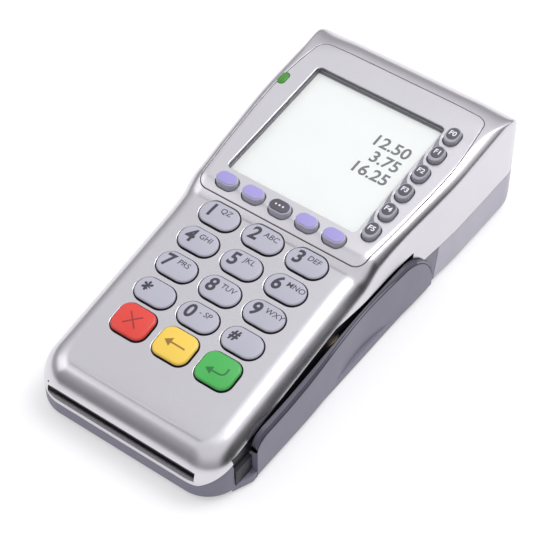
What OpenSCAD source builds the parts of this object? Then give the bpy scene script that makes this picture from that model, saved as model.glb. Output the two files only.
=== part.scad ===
// Hand-held card payment terminal, millimetres.
// X to the user's right, Y from the keypad end to the printer end, Z up.
// The rubber feet stand on Z = 0.

/* [Case] */
// Overall length, nose to printer end
case_length = 198; // [190:1:210]
// Width of the display head
head_width = 91.6; // [86:0.2:96]
// Width of the case beside the keypad
keypad_width = 86; // [80:0.5:90]
// Wall thickness of every moulding
wall = 2; // [1.6:0.1:2.4]
// Underside of the base above the table
base_lift = 0.8; // [0.6:0.1:1.5]
// Height of the joint between base and top case at the front
front_joint = 5; // [4:0.5:8]
// Height of the joint between paper door and top case
rear_joint = 19.5; // [17:0.5:22]
// Gap left between mouldings that meet
seam = 0.3; // [0.2:0.05:0.5]

/* [Keypad] */
// Slope of the keypad
keypad_tilt = 10.6; // [8:0.2:13]
// Height of the case surface at the first key row
keypad_height = 37.4; // [35:0.1:39]
// First key row, from the printer end
first_row_y = 111; // [111:0.5:114]
// Distance between key columns
column_pitch = 20; // [19:0.1:20]
// Distance between key rows along the slope
row_pitch = 13.28; // [12.8:0.02:13.6]
// Distance from the last digit row to the command row
command_pitch = 14; // [13.8:0.1:15]
// Sideways position of the middle column
keypad_x = -1.1; // [-1.5:0.1:-0.5]
// Distance between the columns of the command row
command_columns = 19.3; // [19:0.1:20]
// Sideways position of the command row
command_x = -0.9; // [-1.3:0.1:-0.3]
// Digit key length
key_length = 16.8; // [15:0.1:17]
// Digit key width
key_width = 10.3; // [10:0.1:10.5]
// Command key length
command_length = 15.6; // [14:0.1:16]
// Command key width
command_width = 13.2; // [12:0.1:13.4]
// Corner radius of the command keys
command_corner = 4.2; // [3:0.1:5]
// How far the keys stand above the case
key_rise = 1.5; // [1:0.1:1.7]
// Gap between a key and its hole
key_gap = 0.35; // [0.25:0.05:0.4]
// Key travel
key_travel = 1.2; // [0.8:0.1:1.3]

/* [Display] */
// Slope of the display
display_tilt = 6.2; // [5:0.1:8]
// Height of the case surface at the lower window edge
display_height = 43.2; // [42:0.1:45]
// Lower window edge, from the printer end
window_y = 92.5; // [91:0.1:93]
// Window width
window_width = 59.2; // [56:0.2:59.6]
// Window length along the slope
window_length = 60.8; // [58:0.2:61.2]
// Sideways position of the window
window_x = -2.2; // [-2.6:0.1:-1.6]
// Status light, from the middle of the case
light_x = -39.9; // [-40.2:0.1:-39.6]
// Status light, above the lower window edge
light_along = 48; // [46:0.5:50]
// Status light width
light_width = 3.2; // [3:0.1:3.4]
// Status light length
light_length = 6.2; // [5.8:0.1:6.6]
// Half width of the display panel
panel_half = 41.1; // [40.5:0.1:41.3]
// Widest place of the display panel, from the printer end
panel_widest = 49; // [46:0.5:52]
// How much narrower each side of the panel is at the front
panel_waist = 3.9; // [3:0.1:4.2]
// How much narrower each side of the panel is at the rear
panel_taper = 2.9; // [2:0.1:3.4]
// Front edge of the display panel, ahead of the lower window edge
panel_front = 11.4; // [11.2:0.1:11.7]
// Rear edge of the display panel, from the printer end
panel_rear = 20; // [19:0.1:21]
// Corner radius of the display panel
panel_corner = 4.5; // [4:0.5:7]

/* [Menu keys] */
// Soft key length
soft_length = 9.2; // [8.5:0.1:9.4]
// Soft key width
soft_width = 6.2; // [5.8:0.1:6.4]
// Distance between soft keys
soft_pitch = 12.26; // [12:0.02:12.6]
// Soft key row, below the window along the slope
soft_row = -6; // [-6.4:0.1:-5.8]
// Sideways position of the middle soft key
soft_x = -2.4; // [-2.6:0.1:-1.8]
// Function key width
function_width = 5.6; // [5.2:0.1:5.8]
// Function key length
function_length = 8; // [7:0.1:8.2]
// Distance between function keys along the slope
function_pitch = 10.88; // [10.6:0.02:11]
// First function key, above the lower window edge
function_start = 3.5; // [3.2:0.1:3.7]
// Sideways position of the function keys
function_x = 32.2; // [32:0.1:32.5]
// How far the menu keys stand above the panel
menu_rise = 2.4; // [1.6:0.1:2.6]

/* [Swipe slot] */
// Inner face of the slot, in from the side of the case
slot_x = 1.3; // [1:0.1:1.5]
// Slot width
slot_width = 1.3; // [1:0.1:1.5]
// Height of the slot floor
slot_floor = 13; // [12:0.5:14]
// Height of the case edge above the slot
slot_top = 29.5; // [28:0.5:30]
// Rear end of the slot, from the printer end
slot_rear = 77; // [75:0.5:79]
// Front end of the guide wall, from the nose
guide_front = 19; // [17:0.5:21]
// Front end of the black liner, from the nose
liner_front = 11.6; // [10:0.2:14]
// Height of the guide wall at its middle
guide_height = 27.8; // [26:0.1:28]
// Travel of the magnetic head
head_travel = 0.5; // [0.3:0.1:0.6]

/* [Printer and door] */
// Paper roll radius
roll_radius = 17; // [15:0.1:17.2]
// Paper width
paper_width = 57; // [56:0.5:57.5]
// Paper roll centre, from the printer end
roll_y = 35.2; // [35:0.1:36]
// Paper roll centre height
roll_z = 20.8; // [20.5:0.1:21.5]
// Platen roller radius
platen_radius = 4.6; // [4:0.1:5]
// Platen shaft radius
shaft_radius = 1.5; // [1.2:0.1:2]
// Platen centre, from the printer end
platen_y = 12.5; // [12:0.1:13]
// Platen centre height
platen_z = 15; // [14.8:0.1:15.2]
// Door hinge axis, from the printer end
hinge_y = 57.6; // [57:0.1:58]
// Door hinge axis height
hinge_z = 5; // [4.8:0.1:5.4]
// Door opening angle
door_angle = 70; // [45:5:75]
// Radial clearance of every shaft that turns
running = 0.05; // [0.03:0.01:0.08]
// Gear tooth module
tooth_module = 0.6; // [0.5:0.1:0.8]

/* [Battery and card reader] */
// Battery pack half width
battery_half = 33; // [30:0.5:34]
// Battery pack front end, ahead of its rear end
battery_front = 60; // [56:1:62]
// Battery pack rear end, ahead of the door hinge
battery_rear = 9.4; // [8:0.2:12]
// Top of the battery pack
battery_top = 16.5; // [14:0.5:17]
// Width of the card slot in the nose
card_slot_width = 67.6; // [60:0.2:68]
// Height of the card slot above the table
card_slot_z = 11; // [10:0.1:12]
// Opening height of the card slot
card_slot_gap = 1.4; // [1:0.1:1.6]
// Sideways position of the card slot
card_slot_x = -1; // [-1.5:0.1:0]

/* [Hidden] */
$fn = 48;
nose_y = -case_length / 2;
tail_y = case_length / 2;
head_half = head_width / 2;
keypad_half = keypad_width / 2;
keys_y = tail_y - first_row_y;
glass_y = tail_y - window_y;
panel_y0 = glass_y - panel_front;
panel_y1 = tail_y - panel_rear;
widest_y = tail_y - panel_widest;
slot_face = keypad_half - slot_x;
slot_y1 = tail_y - slot_rear;
guide_y0 = nose_y + guide_front;
liner_y0 = nose_y + liner_front;
roll_mid = tail_y - roll_y;
platen_mid = tail_y - platen_y;
hinge_mid = tail_y - hinge_y;
battery_y1 = hinge_mid - battery_rear;
battery_y0 = battery_y1 - battery_front;
nose_corner = 14;
tail_corner = 12.8;
tail_growth = 8.4;
nose_run = 9.5;
nose_drop = 12;
tail_run = 21.7;
tail_drop = 29.4;
step_start = glass_y - 15.5;
step_length = 10;
shoulder_head = 5.5;
shoulder_keypad = 10.5;
hem = 2.6;
tail_hem = 21.6;
tail_hem_run = 21.6;
slot_lip = 31.5;
panel_foot = 36.6;
rise_x = keypad_half - 12.3;
rise_slope = 0.594;
soft_drop = 1.8;
liner = 1;
board = 1.6;
board_z = 18;
door_front = hinge_mid - 2.8;
gear_width = 4;
motor_ahead = 1.7;
motor_y = platen_mid + motor_ahead;
motor_above = 16;
motor_z = platen_z + motor_above;
motor_radius = 6.5;
pinion_teeth = 12;
platen_teeth = 18;
idler_teeth = 24;
pin_radius = 1.25;
cheek_inner = paper_width / 2 + 1.5;
cheek = 2;
gear_x = -cheek_inner - 4.2;
mag_y = slot_y1 - 49;
mag_z = 20;

// part to draw

// Curves of the case

function ramp(t) = let (u = min(1, max(0, t))) u * u * (3 - 2 * u);
function keypad_line(y) = keypad_height + (y - keys_y) * tan(keypad_tilt);
function display_line(y) = display_height + (y - glass_y) * tan(display_tilt);
function crown(y) =
    keypad_line(y) + (display_line(y) - keypad_line(y)) * ramp((y - step_start) / step_length);
function half_width(y) = keypad_half + (head_half - keypad_half) * ramp((y - glass_y + 1.5) / 50);
function shoulder(y) = shoulder_keypad + (shoulder_head - shoulder_keypad) * ramp((y - glass_y + 26.5) / 40);

// A ring point is [x, y, end]: end is -1 on the nose, 0 on the side and 1 on the tail.
// t is the depth below the skin, r the share of the rounding already turned in.
function inset(radius, t, r) = t + max(1, radius - t) * r;
function nose_point(a, t, r) =
    let (s = inset(shoulder_keypad, t, r), f = inset(nose_run, t, r),
         rx = max(3, nose_corner - s), ry = max(5, nose_corner - 0.6 * f))
    [keypad_half - s - rx + rx * sin(a), nose_y + f + ry - ry * cos(a), -pow(cos(a), 2)];
function tail_point(a, t, r) =
    let (s = inset(shoulder_head, t, r), g = inset(tail_run, t, r),
         c = tail_corner + tail_growth * r,
         rx = max(3, c - s), ry = max(6, c - 0.4 * g))
    [head_half - s - rx + rx * cos(a), tail_y - g - ry + ry * sin(a), pow(sin(a), 2)];
function side_point(u, t, r) =
    let (y0 = nose_point(90, t, r)[1], y1 = tail_point(0, t, r)[1],
         y = y0 + (y1 - y0) * u)
    [half_width(y) - inset(shoulder(y), t, r), y, 0];

corner_steps = [0, 15, 30, 45, 60, 75, 90];
side_steps = [0.05, 0.12, 0.2, 0.28, 0.36, 0.42, 0.46, 0.485, 0.505, 0.525, 0.545,
              0.57, 0.6, 0.64, 0.69, 0.75, 0.81, 0.87, 0.94];

// Right half of one ring, from the middle of the nose to the middle of the tail.
function half_ring(t, r) = concat(
    [for (k = [0.05, 0.5]) let (p = nose_point(0, t, r)) [p[0] * k, p[1], -1]],
    [for (a = corner_steps) nose_point(a, t, r)],
    [for (u = side_steps) side_point(u, t, r)],
    [for (a = corner_steps) tail_point(a, t, r)],
    [for (k = [0.5, 0.05]) let (p = tail_point(90, t, r)) [p[0] * k, p[1], 1]]);

function mix_ends(p, nose, side, tail) =
    p[2] < 0 ? side + (nose - side) * -p[2] : side + (tail - side) * p[2];

// Upper and lower ring heights, c is the share of the rounding still to drop.
function upper_z(p, t, c) =
    crown(p[1]) - t - c * (mix_ends(p, nose_drop, shoulder(p[1]), tail_drop) - t);
function lower_z(p, t, c) =
    base_lift + t + c * max(0.6, mix_ends(p, hem, hem, tail_hem) - t);

turn_steps = [0, 18, 36, 52, 68, 80, 90];
hem_steps = [90, 66, 44, 22, 0];

function mirrored(half) = concat(half, [for (i = [len(half) - 1:-1:0]) [-half[i][0], half[i][1], half[i][2]]]);
function hem_ring(t, a) = mirrored([for (p = hem_half(t, 1 - cos(a))) [p[0], p[1], lower_z(p, t, 1 - sin(a))]]);
function hem_half(t, r) = concat(
    [for (k = [0.05, 0.5]) let (p = hem_nose(0, t, r)) [p[0] * k, p[1], -1]],
    [for (a = corner_steps) hem_nose(a, t, r)],
    [for (u = side_steps) hem_side(u, t, r)],
    [for (a = corner_steps) hem_tail(a, t, r)],
    [for (k = [0.5, 0.05]) let (p = hem_tail(90, t, r)) [p[0] * k, p[1], 1]]);
function hem_nose(a, t, r) =
    let (s = inset(hem, t, r), rx = max(3, nose_corner - s))
    [keypad_half - s - rx + rx * sin(a), nose_y + s + rx - rx * cos(a), -pow(cos(a), 2)];
function hem_tail(a, t, r) =
    let (s = inset(hem, t, r), g = inset(tail_hem_run, t, r),
         rx = max(3, tail_corner - s), ry = max(6, tail_corner - 0.4 * g))
    [head_half - s - rx + rx * cos(a), tail_y - g - ry + ry * sin(a), pow(sin(a), 2)];
function hem_side(u, t, r) =
    let (y0 = hem_nose(90, t, r)[1], y1 = hem_tail(0, t, r)[1], y = y0 + (y1 - y0) * u)
    [half_width(y) - inset(hem, t, r), y, 0];
function crown_ring(t, a) =
    mirrored([for (p = half_ring(t, 1 - cos(a))) [p[0], p[1], upper_z(p, t, 1 - sin(a))]]);

// Closed solid through a stack of mirrored rings of equal length.
module ring_stack(rings) {
    n = len(rings[0]);
    h = n / 2;
    last = len(rings) - 1;
    points = [for (r = rings) for (p = r) p];
    walls = [for (k = [0:last - 1]) for (i = [0:n - 1])
        let (a = k * n + i, b = k * n + (i + 1) % n)
        each [[a, a + n, b + n], [a, b + n, b]]];
    floor_strips = [for (i = [0:h - 2])
        let (a = i, b = i + 1, c = n - 2 - i, d = n - 1 - i)
        each [[a, b, c], [a, c, d]]];
    roof_strips = [for (i = [0:h - 2])
        let (o = last * n, a = o + i, b = o + i + 1, c = o + n - 2 - i, d = o + n - 1 - i)
        each [[a, c, b], [a, d, c]]];
    polyhedron(points, concat(walls, floor_strips, roof_strips), convexity = 6);
}

// The whole body, its skin moved inwards by t.
module body(t = 0)
    ring_stack(concat(
        [for (a = hem_steps) hem_ring(t, a)],
        [for (a = turn_steps) crown_ring(t, a)]));

// Small solids

module block(x0, x1, y0, y1, z0, z1)
    translate([x0, y0, z0])
        cube([x1 - x0, y1 - y0, z1 - z0]);

module rod_x(radius, x0, x1, y, z)
    translate([x0, y, z])
        rotate([0, 90, 0])
            cylinder(r = radius, h = x1 - x0);

// Rounded plate from exact boxes and cylinders, length along X.
module plate(length, width, corner, z0, z1) {
    r = min(corner, width / 2, length / 2);
    translate([0, 0, z0]) {
        for (sx = [-1, 1])
            for (sy = [-1, 1])
                translate([sx * (length / 2 - r), sy * (width / 2 - r), 0])
                    cylinder(r = r, h = z1 - z0);
        if (length > 2 * r)
            translate([-length / 2 + r, -width / 2, 0])
                cube([length - 2 * r, width, z1 - z0]);
        if (width > 2 * r)
            translate([-length / 2, -width / 2 + r, 0])
                cube([length, width - 2 * r, z1 - z0]);
    }
}

// Rounded hole cutter, a hull.
module hole(length, width, corner, z0, z1) {
    r = min(corner, width / 2, length / 2) - 0.01;
    hull()
        for (sx = [-1, 1])
            for (sy = [-1, 1])
                translate([sx * (length / 2 - r), sy * (width / 2 - r), z0])
                    cylinder(r = r, h = z1 - z0, $fn = 32);
}

// Frames that lie on the keypad and on the display

module on_keypad(column, row) {
    along = row < 4 ? row * row_pitch : 3 * row_pitch + command_pitch;
    x = row < 4 ? keypad_x + (column - 1) * column_pitch : command_x + (column - 1) * command_columns;
    translate([x, keys_y, keypad_height])
        rotate([keypad_tilt, 0, 0])
            translate([0, -along, 0])
                children();
}

module on_display(x, along)
    translate([0, glass_y, display_height])
        rotate([display_tilt, 0, 0])
            translate([x, along, 0])
                children();

// Keys

// Cap, flange under the case and stem, standing on the surface z = 0.
// drop lowers the flange where the case dips below that surface.
module key(length, width, corner, rise, dome, drop = 0) {
    under = -wall - drop;
    intersection() {
        plate(length, width, corner, under - 0.8, rise);
        translate([0, 0, rise - dome])
            sphere(r = dome, $fn = 96);
    }
    plate(length + 1.4, width + 1.4, corner + 0.7, under - 1.3, under - key_gap);
    translate([0, 0, under - 2.2 + 0.4 * drop])
        cylinder(r = 2, h = 1.2);
}

module digit_key(column, row)
    color([0.76, 0.76, 0.82])
        on_keypad(column, row)
            key(key_length, key_width, key_width / 2, key_rise, 48);

module command_key(column, tint)
    color(tint)
        on_keypad(column, 4)
            key(command_length, command_width, command_corner, key_rise + 0.4, 48);

module soft_key(place, tint)
    color(tint)
        on_display(soft_x + place * soft_pitch, soft_row)
            key(soft_length, soft_width, soft_width / 2, menu_rise, 30, soft_drop);

module function_key(place)
    color([0.36, 0.35, 0.38])
        on_display(function_x, function_start + (5 - place) * function_pitch)
            key(function_width, function_length, function_width / 2, menu_rise, 30);

module key_1() digit_key(0, 0);
module key_2() digit_key(1, 0);
module key_3() digit_key(2, 0);
module key_4() digit_key(0, 1);
module key_5() digit_key(1, 1);
module key_6() digit_key(2, 1);
module key_7() digit_key(0, 2);
module key_8() digit_key(1, 2);
module key_9() digit_key(2, 2);
module key_star() digit_key(0, 3);
module key_0() digit_key(1, 3);
module key_hash() digit_key(2, 3);
module key_cancel() command_key(0, [0.88, 0.24, 0.2]);
module key_clear() command_key(1, [0.98, 0.8, 0.3]);
module key_enter() command_key(2, [0.25, 0.68, 0.3]);
module soft_key_1() soft_key(-2, [0.66, 0.6, 0.85]);
module soft_key_2() soft_key(-1, [0.66, 0.6, 0.85]);
module soft_key_middle() soft_key(0, [0.36, 0.35, 0.38]);
module soft_key_3() soft_key(1, [0.66, 0.6, 0.85]);
module soft_key_4() soft_key(2, [0.66, 0.6, 0.85]);
module function_key_0() function_key(0);
module function_key_1() function_key(1);
module function_key_2() function_key(2);
module function_key_3() function_key(3);
module function_key_4() function_key(4);
module function_key_5() function_key(5);

// Display panel and what lies under it

// Half width of the panel, widest at widest_y.
function panel_side(y) =
    y < widest_y ? panel_half - panel_waist * pow((widest_y - y) / (widest_y - panel_y0), 1.5)
                 : panel_half - panel_taper * pow((y - widest_y) / (panel_y1 - widest_y), 1.5);

// Right half of the panel outline, grown by g, and by front at its front edge.
function panel_half_outline(g, front) =
    let (r = panel_corner + g, y0 = panel_y0 - front + r, y1 = panel_y1 + g - r)
    concat([for (a = [-90:15:0]) [panel_side(y0) + g - r + r * cos(a), y0 + r * sin(a)]],
           [for (i = [1:11]) let (y = y0 + (y1 - y0) * i / 12) [panel_side(y) + g, y]],
           [for (a = [0:15:90]) [panel_side(y1) + g - r + r * cos(a), y1 + r * sin(a)]]);

module panel_block(g, front) {
    half = panel_half_outline(g, front);
    translate([0, 0, panel_foot])
        linear_extrude(30)
            polygon(concat(half, [for (i = [len(half) - 1:-1:0]) [-half[i][0], half[i][1]]]));
}

module window_hole(g, z0, z1)
    on_display(window_x, window_length / 2)
        hole(window_width + 2 * g, window_length + 2 * g, 2 + g, z0, z1);

module light_hole(g)
    on_display(light_x, light_along)
        hole(light_width + 2 * g, light_length + 2 * g, light_width, -6, 4);

module display_panel()
    color([0.86, 0.85, 0.88])
        difference() {
            intersection() {
                panel_block(0, 0);
                difference() {
                    body();
                    body(wall);
                }
            }
            window_hole(0, -6, 6);
            for (place = [-2:2])
                on_display(soft_x + place * soft_pitch, soft_row)
                    hole(soft_length + 2 * key_gap, soft_width + 2 * key_gap,
                         soft_width, -6, 6);
            for (place = [0:5])
                on_display(function_x, function_start + place * function_pitch)
                    hole(function_width + 2 * key_gap, function_length + 2 * key_gap,
                         function_length, -6, 6);
            light_hole(0.15);
        }

module display_lens()
    color([0.9, 0.95, 0.95, 0.5])
        on_display(window_x, window_length / 2)
            plate(window_width + 1.2, window_length + 2.4, 1.5, -wall - 0.95, -wall - 0.1);

module lcd_module()
    color([0.93, 0.94, 0.92])
        on_display(window_x, window_length / 2)
            plate(window_width + 1.2, window_length + 2.8, 1, -wall - 4.6, -wall - 1);

module display_board()
    color([0.15, 0.4, 0.25])
        on_display(0, window_length / 2 - 1.2)
            plate(2 * panel_half - 4.2, window_length + 17.2, 2, -wall - 6.4, -wall - 4.8);

module status_light()
    color([0.3, 0.62, 0.2])
        on_display(light_x, light_along)
            plate(light_width, light_length, light_width / 2, -wall - 3.6, 0.6);

// Case

// Height of the case edge above the swipe slot.
function slot_edge(y) =
    let (s = shoulder(y), c = (slot_face - half_width(y) + s) / s)
    max(slot_floor + 1, min(slot_top, crown(y) - s + s * sqrt(max(0, 1 - c * c))));

// Screw bosses, at these places in plan, front pair first.
boss_front_x = keypad_half - 8.5;
boss_rear_x = keypad_half - 3.4;
boss_places = [[-boss_front_x, nose_y + 15], [boss_front_x, nose_y + 15],
               [-boss_rear_x, slot_y1 + 6], [boss_rear_x, slot_y1 + 6]];

edge_steps = concat([liner_y0 - 0.3], [for (i = [1:13]) liner_y0 + (slot_y1 - liner_y0) * i / 14], [slot_y1]);

// Slab beside the slot whose top follows the case edge, lowered by g.
module slot_side(x0, x1, y0, y1, g)
    translate([x0, 0, 0])
        rotate([90, 0, 90])
            linear_extrude(x1 - x0)
                polygon(concat([[y0, slot_floor + g], [y1, slot_floor + g]],
                               [for (i = [len(edge_steps) - 1:-1:0])
                                   let (y = min(y1, max(y0, edge_steps[i])))
                                   [y, slot_edge(y) - g]]));

module slot_recess() {
    block(slot_face - liner, 60, liner_y0 - 0.2, slot_y1, -1, slot_floor);
    slot_side(slot_face - liner, slot_face + 1, liner_y0 - 0.2, slot_y1, 0);
    block(slot_face, 60, liner_y0 - 0.2, slot_y1, -1, slot_top);
}

// Upright prism under a slope that rises round the front right corner,
// moved down by g. The slope starts on the nose and ends at the slot.
module corner_rise(g)
    translate([rise_x, nose_y + 2, 0])
        rotate([0, 0, 45])
            rotate([90, 0, 0])
                translate([0, 0, -20])
                    linear_extrude(40)
                        polygon([[-1, -1], [24, -1], [24, front_joint + 24 * rise_slope - g],
                                 [-1, front_joint - rise_slope - g]]);

// Side view of the paper door, grown by g.
module door_profile(g)
    translate([-60, 0, 0])
        rotate([90, 0, 90])
            linear_extrude(120)
                offset(delta = g)
                    union() {
                        polygon([[door_front, rear_joint - seam], [120, rear_joint - seam],
                                 [120, -10], [hinge_mid, -10], [hinge_mid, hinge_z],
                                 [hinge_mid - 4.6, hinge_z + 2]]);
                        translate([hinge_mid, hinge_z])
                            circle(r = 4.9, $fn = 48);
                    }

module boss_columns(radius, z0, z1, first, last)
    for (i = [first:last])
        translate([boss_places[i][0], boss_places[i][1], z0])
            cylinder(r = radius, h = z1 - z0, $fn = 24);

// Webs from the rear bosses out to the side walls.
module boss_webs(z1)
    for (i = [2, 3])
        let (y = boss_places[i][1], far = half_width(y) - wall + 0.2, s = i == 2 ? -1 : 1)
            block(min(s * boss_rear_x, s * far), max(s * boss_rear_x, s * far),
                  y - 0.8, y + 0.8, 0, z1);

// Rim under the display panel.
module panel_ledge()
    difference() {
        panel_block(1, 0.7);
        panel_block(-2.2, -0.9);
        body(wall + 1.4);
    }

module case_cavity()
    difference() {
        body(wall);
        block(slot_face - liner - wall, 60, nose_y + 9, slot_y1 + wall, -5, slot_lip);
        boss_columns(3, 0, 60, 0, 1);
        boss_columns(3, 0, 30, 2, 3);
        boss_webs(30);
        for (sx = [-1, 1])
            translate([sx * 24, platen_mid, frame_top])
                cylinder(r = 3, h = 20, $fn = 24);
        panel_ledge();
    }

// Card slot, flared upwards at the front so that its lower lip stands out.
module card_mouth() {
    x0 = card_slot_x - card_slot_width / 2;
    x1 = card_slot_x + card_slot_width / 2;
    z0 = card_slot_z - card_slot_gap / 2;
    block(x0, x1, nose_y - 20, nose_y + 7, z0, z0 + card_slot_gap);
    hull() {
        block(x0, x1, nose_y + 2.4, nose_y + 2.6, z0, z0 + card_slot_gap);
        block(x0, x1, nose_y - 1, nose_y, z0 - 0.2, z0 + card_slot_gap + 1.2);
    }
}

module key_holes() {
    for (column = [0:2])
        for (row = [0:3])
            on_keypad(column, row)
                hole(key_length + 2 * key_gap, key_width + 2 * key_gap, key_width, -8, 6);
    for (column = [0:2])
        on_keypad(column, 4)
            hole(command_length + 2 * key_gap, command_width + 2 * key_gap,
                 command_corner + key_gap, -8, 6);
}

module top_case()
    color([0.82, 0.81, 0.85])
        difference() {
            body();
            case_cavity();
            block(-60, 60, -120, slot_y1, -10, front_joint);
            block(-60, 60, slot_y1, 120, -10, rear_joint);
            slot_recess();
            difference() {
                corner_rise(0);
                body(wall + 0.5);
                block(-60, 60, liner_y0, 120, -10, 60);
            }
            difference() {
                panel_block(seam, seam);
                body(wall + 0.05);
            }
            card_mouth();
            key_holes();
            light_hole(0.25);
            boss_columns(1.4, 0, 15, 0, 1);
            boss_columns(1.4, 0, 27, 2, 3);
            block(slot_face - liner - wall - 1, slot_face, mag_y - 7.2, mag_y + 7.2,
                  mag_z - 5.4, mag_z + 5.4);
        }

// Guide wall of the swipe slot

function guide_outer(y) = head_half - 0.7 - 0.7 * cos(180 * min(1, max(-1, (y - slot_y1 + 34) / 42)));
function guide_inner(y) =
    y < slot_y1 - 0.2 ? slot_face + slot_width : half_width(y) + seam;
function guide_crest(y) =
    let (h = guide_height - 5.2 * ramp((slot_y1 - 22 - y) / 70),
         front = y < guide_y0 + 7 ? 6 * (1 - sqrt(max(0, 1 - pow((guide_y0 + 7 - y) / 7.01, 2)))) : 0,
         back = y > slot_y1 - 8 ? sqrt(max(0, 1 - pow((y - slot_y1 + 8) / 20.5, 2))) : 1)
    3 + (h - front - 3) * back;

// Cross-section of the guide wall at y, from its foot outside round to its foot inside.
function guide_ring(y) =
    let (o = guide_outer(y), i = guide_inner(y), t = guide_crest(y),
         f = min(slot_floor, t - 1), e = slot_face + seam)
    [[o - 2.2, y, base_lift], [o - 0.6, y, base_lift + 0.6], [o, y, base_lift + 2],
     [o, y, max(base_lift + 2.1, t - 3.4)], [o - 0.25, y, max(base_lift + 2.2, t - 2)],
     [(o + i) / 2 + 0.35, y, t - 0.3], [(o + i) / 2 - 0.1, y, t], [i + 0.3, y, t - 0.25],
     [i, y, t - 0.7], [i, y, f], [min(e, i - 0.1), y, f], [min(e, i - 0.1), y, base_lift]];

guide_steps = concat([for (d = [0, 0.8, 2, 4, 7]) guide_y0 + d],
                     [for (i = [1:11]) guide_y0 + 7 + (slot_y1 - guide_y0 - 15) * i / 11],
                     [for (d = [-4, -0.3, -0.1, 3, 6, 8.5, 10.5, 11.7]) slot_y1 + d]);

module guide_wall() {
    n = 12;
    last = len(guide_steps) - 1;
    polyhedron([for (y = guide_steps) each guide_ring(y)],
               concat([[for (i = [n - 1:-1:0]) i]],
                      [[for (i = [0:n - 1]) last * n + i]],
                      [for (k = [0:last - 1]) for (i = [0:n - 1])
                          let (a = k * n + i, b = k * n + (i + 1) % n)
                          each [[a, b + n, a + n], [a, b, b + n]]]),
               convexity = 8);
}

module base_shell()
    color([0.56, 0.55, 0.62])
        union() {
            difference() {
                body();
                difference() {
                    body(wall);
                    boss_columns(3, 0, front_joint - seam, 0, 1);
                    boss_columns(3, 0, 60, 2, 3);
                    bay_walls();
                    for (x = [-24, -8, 6, 22])
                        hull()
                            block(x, x + 2, nose_y + 9, battery_y0 - 20, 0, 5.9);
                }
                difference() {
                    block(-60, 60, -120, slot_y1 + seam, front_joint - seam, 60);
                    difference() {
                        corner_rise(seam);
                        body(wall + 0.5);
                        block(-60, 60, liner_y0 - 0.6, 120, -10, 60);
                    }
                }
                block(-60, 60, slot_y1, 120, rear_joint - seam, 60);
                door_profile(seam);
                hull()
                    block(-battery_half - 0.4, battery_half + 0.4,
                          battery_y0 - 0.4, battery_y1 + 0.4, -5, 18);
                boss_columns(1.4, -5, 60, 0, 3);
                boss_columns(2.5, -5, 2.2, 0, 3);
                slot_notch();
            }
            guide_wall();
            hull()
                block(slot_face + seam, slot_face + 3, guide_y0, slot_y1, base_lift + 0.4,
                      front_joint);
            guide_toe();
        }

// Low ledge from the front corner of the base out to the foot of the guide wall.
module guide_toe()
    translate([0, 0, base_lift + 0.5])
        linear_extrude(front_joint - seam - base_lift - 0.5)
            polygon([[slot_face - 1, liner_y0 + 1], [slot_face + 0.5, liner_y0 - 1.4],
                     [guide_outer(guide_y0) - 0.3, guide_y0 - 1], [guide_outer(guide_y0) - 0.3, guide_y0 + 2],
                     [slot_face + seam, guide_y0 + 2], [slot_face - 1, guide_y0 + 2]]);

// Clears the case wall and the liner beside the slot.
module slot_notch()
    block(slot_face - liner - wall - 0.4, slot_face + seam, liner_y0 - 0.6, slot_y1 + seam,
          front_joint - seam, 60);

module bay_walls()
    difference() {
        hull()
            block(-battery_half - 2, battery_half + 2, battery_y0 - 2,
                  battery_y1 + 2, 0, 14);
        hull()
            block(-battery_half - 0.4, battery_half + 0.4, battery_y0 - 0.4,
                  battery_y1 + 0.4, -1, 15);
    }

// Swipe reader

module swipe_liner()
    color([0.05, 0.05, 0.06])
        difference() {
            slot_side(slot_face - liner, slot_face, liner_y0, slot_y1 - seam, 0.3);
            block(slot_face - liner - 1, slot_face + 1, mag_y - 6.8, mag_y + 6.8,
                  mag_z - 5, mag_z + 5);
        }

module mag_head()
    color([0.45, 0.42, 0.4])
        intersection() {
            block(slot_face - 6.1, slot_face + 0.7, mag_y - 6, mag_y + 6, mag_z - 4.4, mag_z + 4.4);
            translate([slot_face - 8.3, mag_y, 0])
                cylinder(r = 9, h = 40);
        }

module mag_head_spring()
    color([0.75, 0.75, 0.77])
        union() {
            block(slot_face - 7.5, slot_face - 7.1, mag_y - 12, mag_y + 12, mag_z - 1.5, mag_z + 1.5);
            for (y = [mag_y - 12, mag_y + 11.6])
                block(slot_face - 7.5, slot_face - liner - wall, y, y + 0.4, mag_z - 1.5, mag_z + 1.5);
        }

// Keypad layers and boards

module keypad_layer(z0, z1)
    on_keypad(1, 2)
        translate([-keypad_x, -2.4, 0])
            plate(2 * column_pitch + 30, 3 * row_pitch + command_pitch + 11.96, 3, z0, z1);

module keypad_mat()
    color([0.55, 0.55, 0.58])
        keypad_layer(-wall - 4.8, -wall - 3.6);

module keypad_board()
    color([0.15, 0.4, 0.25])
        keypad_layer(-wall - 6.4, -wall - 5);

module main_board()
    color([0.15, 0.4, 0.25])
        union() {
            block(-36, 31, battery_y0 - 10, battery_y1 + 2, board_z, board_z + board);
            chip(-14, 2, 16, 32, 1.4);
            chip(8, 22, 20, 30, 1.2);
            chip(-28, -20, 36, 52, 1.8);
            chip(4, 12, 42, 56, 1.2);
        }

// Chip on the main board, measured from the battery's front end.
module chip(x0, x1, from, to, height)
    block(x0, x1, battery_y0 + from, battery_y0 + to, board_z + board, board_z + board + height);

module card_reader()
    color([0.2, 0.2, 0.22])
        difference() {
            block(-31, 31, nose_y + 5, nose_y + 50, card_slot_z - 4.8, card_slot_z + 2.6);
            block(-27.3, 27.3, nose_y + 4, nose_y + 48, card_slot_z - 0.5, card_slot_z + 0.5);
        }

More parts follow.
